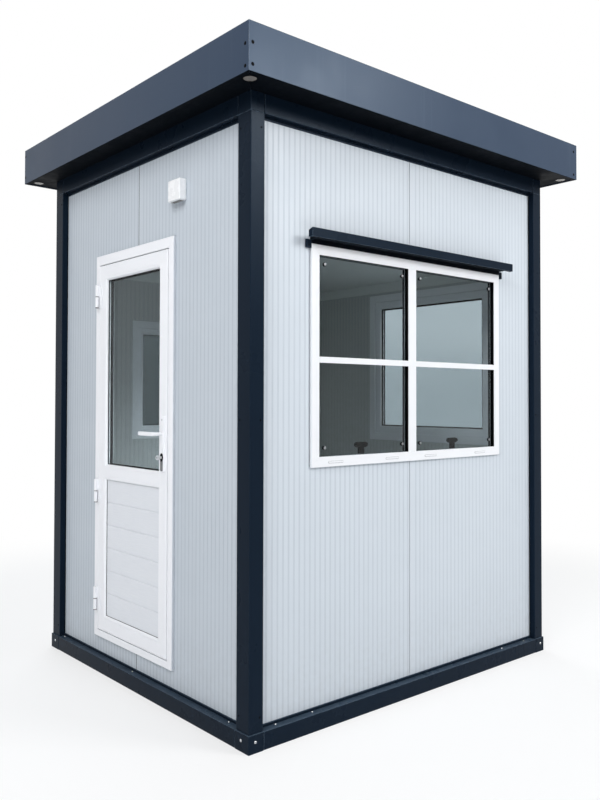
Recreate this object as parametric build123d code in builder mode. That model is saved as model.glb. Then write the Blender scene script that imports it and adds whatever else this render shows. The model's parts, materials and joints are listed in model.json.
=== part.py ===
from build123d import *
import os

# Security guard booth: a steel framed cabin clad in micro-ribbed sandwich panels, with a uPVC door
# in front (-Y), a two-light window on the right (+X), and one window each in the back and left walls.
# Millimetres, +Z up, the origin on the ground at the middle of the base.

os.makedirs("parts", exist_ok=True)

# ---- driving dimensions ----
base_width = 1875.0  # outside of the base frame, left to right
base_depth = 2095.0  # outside of the base frame, front to back
base_height = 75.0
base_rail_width = 100.0
joist_width = 60.0
joist_height = 60.0
joist_count = 3

post_setback = 6.0  # base face to post face
post_lap = 5.0  # corner post over the end of a front or back wall
post_leg_y = 72.0  # leg of a corner post on the side faces
panel_recess = 33.0  # post face to panel skin
wall_thickness = 50.0
wall_height = 2519.0
seam_width = 4.0  # joint between two panels of one wall
seam_depth = 3.0
front_seam_x = -30.0
side_seam_y = -45.0
back_seam_x = 30.0

roof_frame_height = 156.0
roof_rail_width = 88.0
floor_thickness = 90.0
ceiling_drop = 394.0  # top of the walls to the ceiling's face
ceiling_thickness = 40.0
cornice_height = 60.0
cornice_depth = 12.0
trim_height = 15.0  # lips along the feet and heads of the panels
trim_depth = 4.0

fascia_drop = 77.0  # top of the roof frame to the foot of the fascia
fascia_height = 197.0
fascia_thickness = 20.0
soffit_rise = 3.0  # bottom edge of the fascia to the soffit
side_overhang = 149.0  # base face to fascia face, left and right
end_overhang = 123.0  # base face to fascia face, front and back
soffit_thickness = 12.0
roof_thickness = 50.0
rib_height = 24.0
rib_foot = 60.0
rib_crown = 30.0
rib_count = 9
rib_end_gap = 60.0
rib_side_gap = 30.0
light_inset_x = 68.5  # fascia face to the middle of a downlight
light_inset_y = 58.5
light_body_radius = 24.0
light_flange_radius = 30.0
light_flange = 1.6
light_depth = 40.0

door_left = -455.0  # outside of the door frame
door_width = 770.0
door_sill = 96.0  # base frame to the foot of the door frame
door_head_drop = 416.0  # top of the walls to the top of the door frame
frame_proud = 15.0  # door frame face in front of the panel skin
frame_depth = 70.0
jamb_face = 38.0
head_face = 50.0
threshold_face = 34.0
stop_width = 12.0
threshold_stop = 14.0
leaf_gap = 6.0  # clearance all round the leaf
stop_clearance = 5.0  # back of the leaf to the stop
leaf_lip = 20.0  # depth of the leaf's edge before it steps in
leaf_step = 4.0
leaf_thickness = 52.0
leaf_proud = 2.0  # leaf face in front of the frame face
stile_width = 76.0
rail_width = 80.0
mid_rail_rise = 867.0  # foot of the leaf to the top of its middle rail
mid_rail_width = 81.0
glazing_recess = 16.0  # leaf face to glass face
glass_thickness = 24.0
glass_bite = 12.0
door_panel_recess = 12.0
door_panel_thickness = 28.0

end_hinge_inset = 160.0  # end of the leaf to the middle of a hinge
middle_hinge_rise = 725.0
hinge_height = 122.0
hinge_radius = 9.0
hinge_stand = 14.5  # leaf face to hinge axis
hinge_pin_radius = 4.0
hinge_pin_clearance = 0.06
knuckle_gap = 0.4
hinge_neck_start = 3.0
hinge_leaf_width = 34.0
hinge_leaf_thickness = 4.0

handle_inset = 30.0  # edge of the leaf to the spindle
handle_rise = 1045.0  # foot of the leaf to the lever
plate_width = 28.0
plate_drop = 176.0  # below the lever
plate_rise = 84.0  # above the lever
plate_thickness = 9.0
spindle_radius = 8.0
spindle_clearance = 0.3
lever_reach = 138.0  # spindle to the lever's tip
lever_height = 20.0
lever_thickness = 11.0
lever_stand = 46.0  # plate face to the middle of the lever
key_drop = 110.0  # below the lever
plug_radius = 8.0
plug_proud = 6.0
key_blade_length = 10.0
key_blade_height = 8.0
key_bow_radius = 11.5
key_thickness = 2.4

window_front = -692.0  # right window, outside of its frame
window_width = 1360.0
window_height = 975.0
window_head_drop = 496.0  # top of the walls to the top of the window
window_proud = 13.0
window_face = 45.0
window_bar_depth = 12.0  # thickness of the white outer frame
front_light_width = 582.0
mullion_width = 55.0
transom_rise = 412.0  # foot of a light to the foot of the transom
transom_height = 27.0
transom_depth = 12.0
gasket_lap = 14.0
gasket_depth = 16.0  # black surround, from the back of the white frame
gasket_reveal = 1.0
pane_set = 14.0  # white frame face to the pane
pane_thickness = 6.0
inner_bar_depth = 14.0  # bars of the lining, from the back of the surround
reveal_cover = 6.0  # lining over the cut edges of the wall
inner_frame_proud = 6.0
button_inset = 38.0
button_radius = 9.0
button_proud = 10.0
latch_set = 29.0  # white frame face to the latches
latch_width = 76.0
latch_height = 26.0
latch_stem = 32.0
latch_drop = 30.0
latch_depth = 18.0
latch_foot_depth = 14.0

hood_gap = 1.0  # window frame to the hood's rail
hood_rail_reach = 29.0  # past the window at each end
hood_rail_drop = 20.0  # the rail's ends below the top of the window
hood_rail_height = 37.0
hood_rail_depth = 12.0
hood_web_height = 26.0
hood_box_reach = 46.0
hood_box_height = 40.0
hood_box_start = 44.0
hood_box_depth = 70.0

rear_window_margin = 178.5  # right wall's inside to the back window's frame
rear_window_width = 1019.0
rear_window_height = 975.0
rear_window_head_drop = 471.0  # top of the walls to the top of the window
side_window_width = 1174.0
side_window_height = 720.0
side_window_head_drop = 698.0
rear_frame_face = 46.0
rear_sash_face = 48.0
side_frame_face = 43.0
side_sash_face = 37.0
sash_frame_depth = 64.0
sash_frame_proud = 10.0
sash_setback = 6.0  # sash face behind its frame's outer face
sash_depth = 48.0
sash_pane_thickness = 24.0

lamp_size = 100.0
lamp_depth = 40.0
lamp_overlap = 9.0  # the lamp's left edge past the door frame's right edge
lamp_rise = 149.0  # above the door frame
lamp_round = 5.0

# ---- worked out from them ----
half_width = base_width / 2
half_depth = base_depth / 2
wall_top = base_height + wall_height
ceiling_level = wall_top - ceiling_drop
post_x = half_width - post_setback
post_y = half_depth - post_setback
skin_x = post_x - panel_recess
skin_y = post_y - panel_recess
post_leg_x = panel_recess + wall_thickness + post_lap  # leg on the front and back faces
room_x = skin_x - wall_thickness
room_y = skin_y - wall_thickness
roof_frame_top = wall_top + roof_frame_height
fascia_x = half_width + side_overhang
fascia_y = half_depth + end_overhang
fascia_bottom = roof_frame_top - fascia_drop
floor_level = base_height + floor_thickness

door_right = door_left + door_width
door_bottom = base_height + door_sill
door_top = wall_top - door_head_drop
frame_face_y = -skin_y - frame_proud
frame_back_y = frame_face_y + frame_depth
leaf_face_y = frame_face_y - leaf_proud
leaf_back_y = leaf_face_y + leaf_thickness
stop_y = leaf_back_y + stop_clearance
leaf_left = door_left + jamb_face + leaf_gap
leaf_right = door_right - jamb_face - leaf_gap
leaf_bottom = door_bottom + threshold_face + leaf_gap
leaf_top = door_top - head_face - leaf_gap
sight_left = leaf_left + stile_width
sight_right = leaf_right - stile_width
glass_top = leaf_top - rail_width
mid_rail_top = leaf_bottom + mid_rail_rise
mid_rail_bottom = mid_rail_top - mid_rail_width
panel_bottom = leaf_bottom + rail_width
hinge_x = leaf_left - leaf_gap / 2
hinge_y = leaf_face_y - hinge_stand
hinge_levels = (leaf_bottom + end_hinge_inset, leaf_bottom + middle_hinge_rise, leaf_top - end_hinge_inset)
handle_x = leaf_right - handle_inset
handle_level = leaf_bottom + handle_rise
key_level = handle_level - key_drop
lamp_left = door_right - lamp_overlap
lamp_bottom = door_top + lamp_rise

window_back = window_front + window_width
window_top = wall_top - window_head_drop
window_bottom = window_top - window_height
rear_window_right = room_x - rear_window_margin
rear_window_left = rear_window_right - rear_window_width
rear_window_top = wall_top - rear_window_head_drop
rear_window_bottom = rear_window_top - rear_window_height
side_window_back = side_window_width / 2
side_window_front = -side_window_back
side_window_top = wall_top - side_window_head_drop
side_window_bottom = side_window_top - side_window_height


def finish(piece, label):
    """Names a finished piece and writes it."""
    piece.part.label = label
    export_step(piece.part, f"parts/{label}.step")


def fill(low, high, mode=Mode.ADD):
    """Adds a box between two corners to the part being built."""
    with Locations(tuple((low[i] + high[i]) / 2 for i in range(3))):
        Box(high[0] - low[0], high[1] - low[1], high[2] - low[2], mode=mode)


def beam_ring(outer_x, outer_y, bottom, height, width):
    """Adds a welded ring of beams to the part being built."""
    fill((-outer_x, -outer_y, bottom), (outer_x, outer_y, bottom + height))
    fill(
        (width - outer_x, width - outer_y, bottom),
        (outer_x - width, outer_y - width, bottom + height),
        Mode.SUBTRACT,
    )


# ---- base frame, floor and roof frame ----
with BuildPart() as base_frame:
    beam_ring(half_width, half_depth, 0, base_height, base_rail_width)
    for i in range(joist_count):
        middle = half_depth * (2 * (i + 1) / (joist_count + 1) - 1)
        fill(
            (base_rail_width - half_width, middle - joist_width / 2, base_height - joist_height),
            (half_width - base_rail_width, middle + joist_width / 2, base_height),
        )
finish(base_frame, "base_frame")

with BuildPart() as floor_panel:
    fill((-room_x, -room_y, base_height), (room_x, room_y, floor_level))
finish(floor_panel, "floor_panel")

with BuildPart() as roof_frame:
    beam_ring(post_x, post_y, wall_top, roof_frame_height, roof_rail_width)
finish(roof_frame, "roof_frame")


# ---- corner posts: L-shaped in plan, closing on the panels with both legs ----
def corner_post(side, end):
    """The post at a corner, side being -1 or 1 along X and end -1 or 1 along Y."""
    inward = [
        (0, 0),
        (post_leg_x, 0),
        (post_leg_x, panel_recess),
        (panel_recess, panel_recess),
        (panel_recess, post_leg_y),
        (0, post_leg_y),
    ]
    with BuildPart() as post:
        with BuildSketch(Plane.XY.offset(base_height)):
            Polygon(*[(side * (post_x - u), end * (post_y - v)) for u, v in inward], align=None)
        extrude(amount=wall_top - base_height)
    return post


for side, side_name in ((-1, "left"), (1, "right")):
    for end, end_name in ((-1, "front"), (1, "back")):
        finish(corner_post(side, end), f"post_{end_name}_{side_name}")


# ---- walls ----
def wall_slab(facing, start, end, bottom, top, seam=None):
    """A stretch of wall: facing names its side, start and end lie along it."""
    outward = 1 if facing in ("right", "back") else -1
    across = (room_x, skin_x) if facing in ("right", "left") else (room_y, skin_y)
    near, far = sorted((outward * across[0], outward * across[1]))
    with BuildPart() as slab:
        if facing in ("right", "left"):
            fill((near, start, bottom), (far, end, top))
        else:
            fill((start, near, bottom), (end, far, top))
        if seam is not None:
            for low, high in ((near, near + seam_depth), (far - seam_depth, far)):
                if facing in ("right", "left"):
                    corners = (low, seam - seam_width / 2, bottom), (high, seam + seam_width / 2, top)
                else:
                    corners = (seam - seam_width / 2, low, bottom), (seam + seam_width / 2, high, top)
                fill(*corners, Mode.SUBTRACT)
    return slab


finish(wall_slab("front", -room_x, door_left, base_height, wall_top), "front_wall_left")
finish(wall_slab("front", door_right, room_x, base_height, wall_top), "front_wall_right")
finish(
    wall_slab("front", door_left, door_right, door_top, wall_top, front_seam_x), "front_wall_over_door"
)
finish(
    wall_slab("front", door_left, door_right, base_height, door_bottom, front_seam_x),
    "front_wall_under_door",
)
finish(wall_slab("right", -skin_y, window_front, base_height, wall_top), "right_wall_front")
finish(wall_slab("right", window_back, skin_y, base_height, wall_top), "right_wall_back")
finish(
    wall_slab("right", window_front, window_back, window_top, wall_top, side_seam_y),
    "right_wall_over_window",
)
finish(
    wall_slab("right", window_front, window_back, base_height, window_bottom, side_seam_y),
    "right_wall_under_window",
)

with BuildPart() as left_wall:
    add(wall_slab("left", -skin_y, skin_y, base_height, wall_top, side_seam_y).part)
    fill(
        (-skin_x, side_window_front, side_window_bottom),
        (-room_x, side_window_back, side_window_top),
        Mode.SUBTRACT,
    )
finish(left_wall, "left_wall")

with BuildPart() as back_wall:
    add(wall_slab("back", -room_x, room_x, base_height, wall_top, back_seam_x).part)
    fill(
        (rear_window_left, room_y, rear_window_bottom),
        (rear_window_right, skin_y, rear_window_top),
        Mode.SUBTRACT,
    )
finish(back_wall, "back_wall")

with BuildPart() as panel_trims:
    for bottom in (base_height, wall_top - trim_height):
        for side in (-1, 1):
            along_x = post_x - post_leg_x
            along_y = post_y - post_leg_y
            y_range = sorted((side * skin_y, side * (skin_y + trim_depth)))
            x_range = sorted((side * skin_x, side * (skin_x + trim_depth)))
            fill((-along_x, y_range[0], bottom), (along_x, y_range[1], bottom + trim_height))
            fill((x_range[0], -along_y, bottom), (x_range[1], along_y, bottom + trim_height))
finish(panel_trims, "panel_trims")

with BuildPart() as ceiling_panel:
    fill((-room_x, -room_y, ceiling_level), (room_x, room_y, ceiling_level + ceiling_thickness))
finish(ceiling_panel, "ceiling_panel")

with BuildPart() as cornice:
    cornice_bottom = ceiling_level - cornice_height
    fill((-room_x, -room_y, cornice_bottom), (room_x, room_y, ceiling_level))
    fill(
        (cornice_depth - room_x, cornice_depth - room_y, cornice_bottom),
        (room_x - cornice_depth, room_y - cornice_depth, ceiling_level),
        Mode.SUBTRACT,
    )
    fill(
        (door_left, -room_y, cornice_bottom),
        (door_right, cornice_depth - room_y, ceiling_level),
        Mode.SUBTRACT,
    )
finish(cornice, "cornice")


# ---- roof ----
deck_x = fascia_x - fascia_thickness
deck_y = fascia_y - fascia_thickness
deck_top = roof_frame_top + roof_thickness
with BuildPart() as roof_panel:
    fill((-deck_x, -deck_y, roof_frame_top), (deck_x, deck_y, deck_top))
finish(roof_panel, "roof_panel")

rib_pitch = 2 * (deck_x - rib_side_gap) / rib_count
with BuildPart() as roof_ribs:
    with BuildSketch(Plane.XZ.offset(rib_end_gap - deck_y)):
        for i in range(rib_count):
            with Locations(((i + 0.5 - rib_count / 2) * rib_pitch, deck_top)):
                Polygon(
                    (-rib_foot / 2, 0),
                    (rib_foot / 2, 0),
                    (rib_crown / 2, rib_height),
                    (-rib_crown / 2, rib_height),
                    align=None,
                )
    extrude(amount=2 * (deck_y - rib_end_gap))
finish(roof_ribs, "roof_ribs")


def fascia(along, outward):
    """One mitred board of the fascia: along is the axis that it runs along."""
    length, reach = (fascia_x, fascia_y) if along == "x" else (fascia_y, fascia_x)
    corners = [
        (-length, outward * reach),
        (length, outward * reach),
        (length - fascia_thickness, outward * (reach - fascia_thickness)),
        (fascia_thickness - length, outward * (reach - fascia_thickness)),
    ]
    if along == "y":
        corners = [(across, lengthwise) for lengthwise, across in corners]
    with BuildPart() as board:
        with BuildSketch(Plane.XY.offset(fascia_bottom)):
            Polygon(*corners, align=None)
        extrude(amount=fascia_height)
    return board


finish(fascia("x", -1), "fascia_front")
finish(fascia("x", 1), "fascia_back")
finish(fascia("y", -1), "fascia_left")
finish(fascia("y", 1), "fascia_right")

light_places = [
    (side * (fascia_x - light_inset_x), end * (fascia_y - light_inset_y))
    for side in (-1, 1)
    for end in (-1, 1)
]
soffit_bottom = fascia_bottom + soffit_rise
with BuildPart() as soffit:
    with BuildSketch(Plane.XY.offset(soffit_bottom)):
        Rectangle(2 * deck_x, 2 * deck_y)
        Rectangle(2 * post_x, 2 * post_y, mode=Mode.SUBTRACT)
        with Locations(light_places):
            Circle(light_body_radius, mode=Mode.SUBTRACT)
    extrude(amount=soffit_thickness)
finish(soffit, "soffit")

with BuildPart() as soffit_lights:
    with BuildSketch(Plane.XY.offset(soffit_bottom - light_flange)):
        with Locations(light_places):
            Circle(light_flange_radius)
    extrude(amount=light_flange)
    with BuildSketch(Plane.XY.offset(soffit_bottom)):
        with Locations(light_places):
            Circle(light_body_radius)
    extrude(amount=light_depth)
finish(soffit_lights, "soffit_lights")


# ---- door frame and leaf ----
with BuildPart() as door_frame:
    fill((door_left, frame_face_y, door_bottom), (door_right, frame_back_y, door_top))
    fill(
        (door_left + jamb_face, frame_face_y, door_bottom + threshold_face),
        (door_right - jamb_face, stop_y, door_top - head_face),
        Mode.SUBTRACT,
    )
    fill(
        (door_left + jamb_face + stop_width, stop_y, door_bottom + threshold_face + threshold_stop),
        (door_right - jamb_face - stop_width, frame_back_y, door_top - head_face - stop_width),
        Mode.SUBTRACT,
    )
finish(door_frame, "door_frame")

glass_face_y = leaf_face_y + glazing_recess
panel_face_y = leaf_face_y + door_panel_recess
light_low = (sight_left, leaf_face_y, mid_rail_top)
light_high = (sight_right, leaf_back_y, glass_top)
glass_low = (sight_left - glass_bite, glass_face_y, mid_rail_top - glass_bite)
glass_high = (sight_right + glass_bite, glass_face_y + glass_thickness, glass_top + glass_bite)
infill_low = (sight_left - glass_bite, panel_face_y, panel_bottom - glass_bite)
infill_high = (sight_right + glass_bite, panel_face_y + door_panel_thickness, mid_rail_bottom + glass_bite)
spindle_y = (leaf_face_y - plate_thickness, leaf_back_y + plate_thickness)
with BuildPart() as door_leaf:
    fill((leaf_left, leaf_face_y, leaf_bottom), (leaf_right, leaf_face_y + leaf_lip, leaf_top))
    fill(
        (leaf_left + leaf_step, leaf_face_y + leaf_lip, leaf_bottom + leaf_step),
        (leaf_right - leaf_step, leaf_back_y, leaf_top - leaf_step),
    )
    fill(light_low, light_high, Mode.SUBTRACT)
    fill(
        (sight_left, leaf_face_y, panel_bottom), (sight_right, leaf_back_y, mid_rail_bottom), Mode.SUBTRACT
    )
    fill(glass_low, glass_high, Mode.SUBTRACT)
    fill(infill_low, infill_high, Mode.SUBTRACT)
    for level, radius in ((handle_level, spindle_radius), (key_level, plug_radius)):
        with BuildSketch(Plane.XZ.offset(-leaf_back_y)):
            with Locations((handle_x, level)):
                Circle(radius + spindle_clearance)
        extrude(amount=leaf_thickness, mode=Mode.SUBTRACT)
finish(door_leaf, "door_leaf")

with BuildPart() as door_glass:
    fill(glass_low, glass_high)
finish(door_glass, "door_glass")

with BuildPart() as door_panel:
    fill(infill_low, infill_high)
finish(door_panel, "door_panel")


# ---- hinges: the frame carries the pin and the lower knuckle, the leaf the upper knuckle ----
def knuckle(bottom, top, radius, mode=Mode.ADD):
    """Adds a cylinder on the hinge axis to the part being built."""
    with Locations((hinge_x, hinge_y, (bottom + top) / 2)):
        Cylinder(radius, top - bottom, mode=mode)


with BuildPart() as frame_hinges:
    for level in hinge_levels:
        foot, joint, head = level - hinge_height / 2, level - knuckle_gap, level + hinge_height / 2
        knuckle(foot, joint, hinge_radius)
        fill(
            (hinge_x - hinge_radius, hinge_y, foot),
            (hinge_x - hinge_neck_start, frame_face_y, joint),
        )
        knuckle(foot, head, hinge_pin_radius)
        fill(
            (hinge_x - hinge_leaf_width, frame_face_y - hinge_leaf_thickness, foot),
            (hinge_x - hinge_neck_start, frame_face_y, head),
        )
finish(frame_hinges, "frame_hinges")

with BuildPart() as leaf_hinges:
    for level in hinge_levels:
        foot, head = level - hinge_height / 2, level + hinge_height / 2
        knuckle(level, head, hinge_radius)
        fill(
            (hinge_x + hinge_neck_start, hinge_y, level),
            (hinge_x + hinge_radius, leaf_face_y, head),
        )
        fill(
            (hinge_x + hinge_neck_start, leaf_face_y - hinge_leaf_thickness, foot),
            (hinge_x + hinge_leaf_width, leaf_face_y, head),
        )
        knuckle(level, head, hinge_pin_radius + hinge_pin_clearance, Mode.SUBTRACT)
finish(leaf_hinges, "leaf_hinges")


# ---- handles, their plates, and the key in the lock ----
with BuildPart() as handle_plates:
    for near, far in ((spindle_y[0], leaf_face_y), (leaf_back_y, spindle_y[1])):
        fill(
            (handle_x - plate_width / 2, near, handle_level - plate_drop),
            (handle_x + plate_width / 2, far, handle_level + plate_rise),
        )
    for level, radius in ((handle_level, spindle_radius), (key_level, plug_radius)):
        with BuildSketch(Plane.XZ.offset(-spindle_y[1])):
            with Locations((handle_x, level)):
                Circle(radius + spindle_clearance)
        extrude(amount=spindle_y[1] - spindle_y[0], mode=Mode.SUBTRACT)
finish(handle_plates, "handle_plates")

lever_y = (spindle_y[0] - lever_stand, spindle_y[1] + lever_stand)
lever_span = lever_reach - lever_height / 2
with BuildPart() as door_handle:
    with BuildSketch(Plane.XZ.offset(-lever_y[1])):
        with Locations((handle_x, handle_level)):
            Circle(spindle_radius)
    extrude(amount=lever_y[1] - lever_y[0])
    for lever_middle in lever_y:
        with BuildSketch(Plane.XZ.offset(-lever_middle - lever_thickness / 2)):
            with Locations((handle_x - lever_span / 2, handle_level)):
                SlotCenterToCenter(lever_span, lever_height)
        extrude(amount=lever_thickness)
finish(door_handle, "door_handle")

with BuildPart() as key:
    plug_face_y = spindle_y[0] - plug_proud
    with BuildSketch(Plane.XZ.offset(-spindle_y[1] - plug_proud)):
        with Locations((handle_x, key_level)):
            Circle(plug_radius)
    extrude(amount=spindle_y[1] + plug_proud - plug_face_y)
    fill(
        (handle_x - key_thickness / 2, plug_face_y - key_blade_length, key_level - key_blade_height / 2),
        (handle_x + key_thickness / 2, plug_face_y, key_level + key_blade_height / 2),
    )
    with BuildSketch(Plane.YZ.offset(handle_x - key_thickness / 2)):
        with Locations((plug_face_y - key_blade_length - key_bow_radius / 2, key_level)):
            Circle(key_bow_radius)
    extrude(amount=key_thickness)
finish(key, "key")


# ---- right window: two fixed panes behind white bars ----
window_face_x = skin_x + window_proud
mullion_front = window_front + window_face + front_light_width
lights = (
    (window_front + window_face, mullion_front),
    (mullion_front + mullion_width, window_back - window_face),
)
light_bottom = window_bottom + window_face
light_top = window_top - window_face
transom_bottom = light_bottom + transom_rise
pane_face_x = window_face_x - pane_set
pane_back_x = pane_face_x - pane_thickness
bar_back_x = window_face_x - window_bar_depth
gasket_back_x = bar_back_x - gasket_depth
inner_bar_back_x = gasket_back_x - inner_bar_depth
latch_face_x = window_face_x - latch_set
inner_face_x = room_x - inner_frame_proud
with BuildPart() as right_window_frame:
    fill((bar_back_x, window_front, window_bottom), (window_face_x, window_back, window_top))
    for start, end in lights:
        fill((bar_back_x, start, light_bottom), (window_face_x, end, light_top), Mode.SUBTRACT)
        fill(
            (window_face_x - transom_depth, start, transom_bottom),
            (window_face_x, end, transom_bottom + transom_height),
        )
finish(right_window_frame, "right_window_frame")

with BuildPart() as right_window_gaskets:
    fill((gasket_back_x, window_front, window_bottom), (bar_back_x, window_back, window_top))
    for start, end in lights:
        fill(
            (gasket_back_x, start - gasket_reveal, light_bottom - gasket_reveal),
            (bar_back_x, end + gasket_reveal, light_top + gasket_reveal),
            Mode.SUBTRACT,
        )
        fill(
            (pane_back_x, start - gasket_lap, light_bottom - gasket_lap),
            (pane_face_x, end + gasket_lap, light_top + gasket_lap),
            Mode.SUBTRACT,
        )
finish(right_window_gaskets, "right_window_gaskets")

with BuildPart() as right_window_glass:
    for start, end in lights:
        fill(
            (pane_back_x, start - gasket_lap, light_bottom - gasket_lap),
            (pane_face_x, end + gasket_lap, light_top + gasket_lap),
        )
finish(right_window_glass, "right_window_glass")

with BuildPart() as right_window_lining:
    fill((inner_face_x, window_front, window_bottom), (gasket_back_x, window_back, window_top))
    fill(
        (inner_face_x, window_front + reveal_cover, window_bottom + reveal_cover),
        (inner_bar_back_x, window_back - reveal_cover, window_top - reveal_cover),
        Mode.SUBTRACT,
    )
    for start, end in lights:
        fill((inner_bar_back_x, start, light_bottom), (gasket_back_x, end, light_top), Mode.SUBTRACT)
finish(right_window_lining, "right_window_lining")

with BuildPart() as window_buttons:
    with BuildSketch(Plane.YZ.offset(pane_face_x)):
        for start, end in lights:
            with Locations(
                (start + button_inset, light_bottom + button_inset),
                (start + button_inset, light_top - button_inset),
                (end - button_inset, light_bottom + button_inset),
                (end - button_inset, light_top - button_inset),
            ):
                Circle(button_radius)
    extrude(amount=button_proud)
finish(window_buttons, "window_buttons")

with BuildPart() as window_latches:
    for start, end in lights:
        middle = (start + end) / 2
        fill(
            (latch_face_x - latch_foot_depth, middle - latch_stem / 2, light_bottom),
            (latch_face_x, middle + latch_stem / 2, light_bottom + latch_drop),
        )
        fill(
            (latch_face_x - latch_depth, middle - latch_width / 2, light_bottom + latch_drop),
            (latch_face_x, middle + latch_width / 2, light_bottom + latch_drop + latch_height),
        )
finish(window_latches, "window_latches")

hood_rail_bottom = window_top - hood_rail_drop
hood_rail_top = hood_rail_bottom + hood_rail_height
with BuildPart() as window_hood:
    fill(
        (skin_x, window_front - hood_rail_reach, hood_rail_bottom),
        (skin_x + hood_rail_depth, window_back + hood_rail_reach, hood_rail_top),
    )
    fill(
        (skin_x, window_front - hood_gap, hood_rail_bottom),
        (skin_x + hood_rail_depth, window_back + hood_gap, window_top + hood_gap),
        Mode.SUBTRACT,
    )
    fill(
        (skin_x, window_front, hood_rail_top),
        (skin_x + hood_box_start, window_back, hood_rail_top + hood_web_height),
    )
    fill(
        (skin_x + hood_box_start, window_front - hood_box_reach, hood_rail_top),
        (skin_x + hood_box_depth, window_back + hood_box_reach, hood_rail_top + hood_box_height),
    )
finish(window_hood, "window_hood")


# ---- back and left windows: one glazed sash in a frame ----
def sash_window(facing, start, end, bottom, top, frame_face, sash_face, name):
    """Writes the frame, the sash and the glass of a window in the back or the left wall."""
    skin = skin_y if facing == "back" else skin_x
    outward = 1 if facing == "back" else -1
    frame_out = skin + sash_frame_proud
    sash_out = frame_out - sash_setback
    pane_out = sash_out - (sash_depth - sash_pane_thickness) / 2

    def ring(out, depth, border, hole):
        """A rectangular ring, border in from the frame's edge, with a hole at hole."""
        near, far = sorted((outward * out, outward * (out - depth)))
        spans = []
        for inset in (border, hole):
            low, high = start + inset, end - inset
            if facing == "back":
                spans.append(((low, near, bottom + inset), (high, far, top - inset)))
            else:
                spans.append(((near, low, bottom + inset), (far, high, top - inset)))
        return spans

    with BuildPart() as frame:
        outer, hole = ring(frame_out, sash_frame_depth, 0, frame_face)
        fill(*outer)
        fill(*hole, Mode.SUBTRACT)
    finish(frame, f"{name}_frame")

    with BuildPart() as sash:
        outer, hole = ring(sash_out, sash_depth, frame_face, frame_face + sash_face)
        pane, _ = ring(pane_out, sash_pane_thickness, frame_face + sash_face - glass_bite, 0)
        fill(*outer)
        fill(*hole, Mode.SUBTRACT)
        fill(*pane, Mode.SUBTRACT)
    finish(sash, f"{name}_sash")

    with BuildPart() as glass:
        fill(*pane)
    finish(glass, f"{name}_glass")


sash_window(
    "back", rear_window_left, rear_window_right, rear_window_bottom, rear_window_top,
    rear_frame_face, rear_sash_face, "back_window",
)
sash_window(
    "left", side_window_front, side_window_back, side_window_bottom, side_window_top,
    side_frame_face, side_sash_face, "left_window",
)

# ---- lamp over the door ----
with BuildPart() as wall_lamp:
    fill(
        (lamp_left, -skin_y - lamp_depth, lamp_bottom),
        (lamp_left + lamp_size, -skin_y, lamp_bottom + lamp_size),
    )
    fillet(wall_lamp.faces().sort_by(Axis.Y)[0].edges(), lamp_round)
finish(wall_lamp, "wall_lamp")
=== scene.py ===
import bmesh
import bpy
import json
import math
from mathutils import Matrix, Vector


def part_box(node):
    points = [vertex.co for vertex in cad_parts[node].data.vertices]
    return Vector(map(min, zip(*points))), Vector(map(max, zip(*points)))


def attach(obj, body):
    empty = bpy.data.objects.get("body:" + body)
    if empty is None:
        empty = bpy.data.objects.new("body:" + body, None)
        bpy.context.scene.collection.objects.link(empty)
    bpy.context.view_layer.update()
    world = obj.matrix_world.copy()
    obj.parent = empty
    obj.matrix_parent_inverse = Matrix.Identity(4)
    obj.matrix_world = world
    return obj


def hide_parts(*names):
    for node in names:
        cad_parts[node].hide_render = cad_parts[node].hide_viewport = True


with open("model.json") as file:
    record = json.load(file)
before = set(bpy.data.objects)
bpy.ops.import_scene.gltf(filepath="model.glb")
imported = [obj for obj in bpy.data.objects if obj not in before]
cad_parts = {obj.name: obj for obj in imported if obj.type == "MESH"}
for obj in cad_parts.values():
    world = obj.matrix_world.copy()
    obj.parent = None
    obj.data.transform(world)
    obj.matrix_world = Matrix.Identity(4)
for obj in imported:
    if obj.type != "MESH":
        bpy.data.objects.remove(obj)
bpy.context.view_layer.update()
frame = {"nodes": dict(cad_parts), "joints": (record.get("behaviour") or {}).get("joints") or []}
scene = bpy.context.scene
print("frame loaded:", len(frame["nodes"]), "nodes")


# a wall point: along the wall, up, and out from the middle of the cabin; "top" is the plan seen from above
def place(facing, along, up, out):
    return {
        "front": (along, -out, up), "back": (along, out, up), "right": (out, along, up),
        "left": (-out, along, up), "top": (along, up, out),
    }[facing]


def circle(steps):
    return [(math.cos(2 * math.pi * i / steps), math.sin(2 * math.pi * i / steps)) for i in range(steps)]


def corners(left, right, bottom, top):
    return [(left, bottom), (right, bottom), (right, top), (left, top)]


def shrink(rect, amount):
    left, right, bottom, top = rect
    return (left + amount, right - amount, bottom + amount, top - amount)


# turns the corners of an outline into arcs; a point is (along, out), or (edge, inset, out) in a frame's section
def rounded(points, radius, steps=3):
    straight, armShare = math.radians(165), 0.45  # flatter corners stay; an arc takes this much of an arm
    plain = len(points[0]) == 2
    if plain:
        points = [(0, *point) for point in points]
    made = []
    for i, (edge, inset, out) in enumerate(points):
        here = Vector((inset, out))
        arms = []
        for edgeTo, insetTo, outTo in (points[i - 1], points[(i + 1) % len(points)]):
            arms.append(Vector((insetTo, outTo)) - here if edgeTo == edge else Vector((edgeTo - edge, 0)))
        bend = arms[0].normalized().angle(arms[1].normalized())
        if bend > straight:
            made.append((edge, inset, out))
            continue
        cut = min(radius / math.tan(bend / 2), armShare * arms[0].length, armShare * arms[1].length)
        start, end = (here + arm.normalized() * cut for arm in arms)
        for step in range(steps + 1):
            t = step / steps
            spot = (1 - t) ** 2 * start + 2 * t * (1 - t) * here + t ** 2 * end
            made.append((edge, spot.x, spot.y))
    return [point[1:] for point in made] if plain else made


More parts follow.
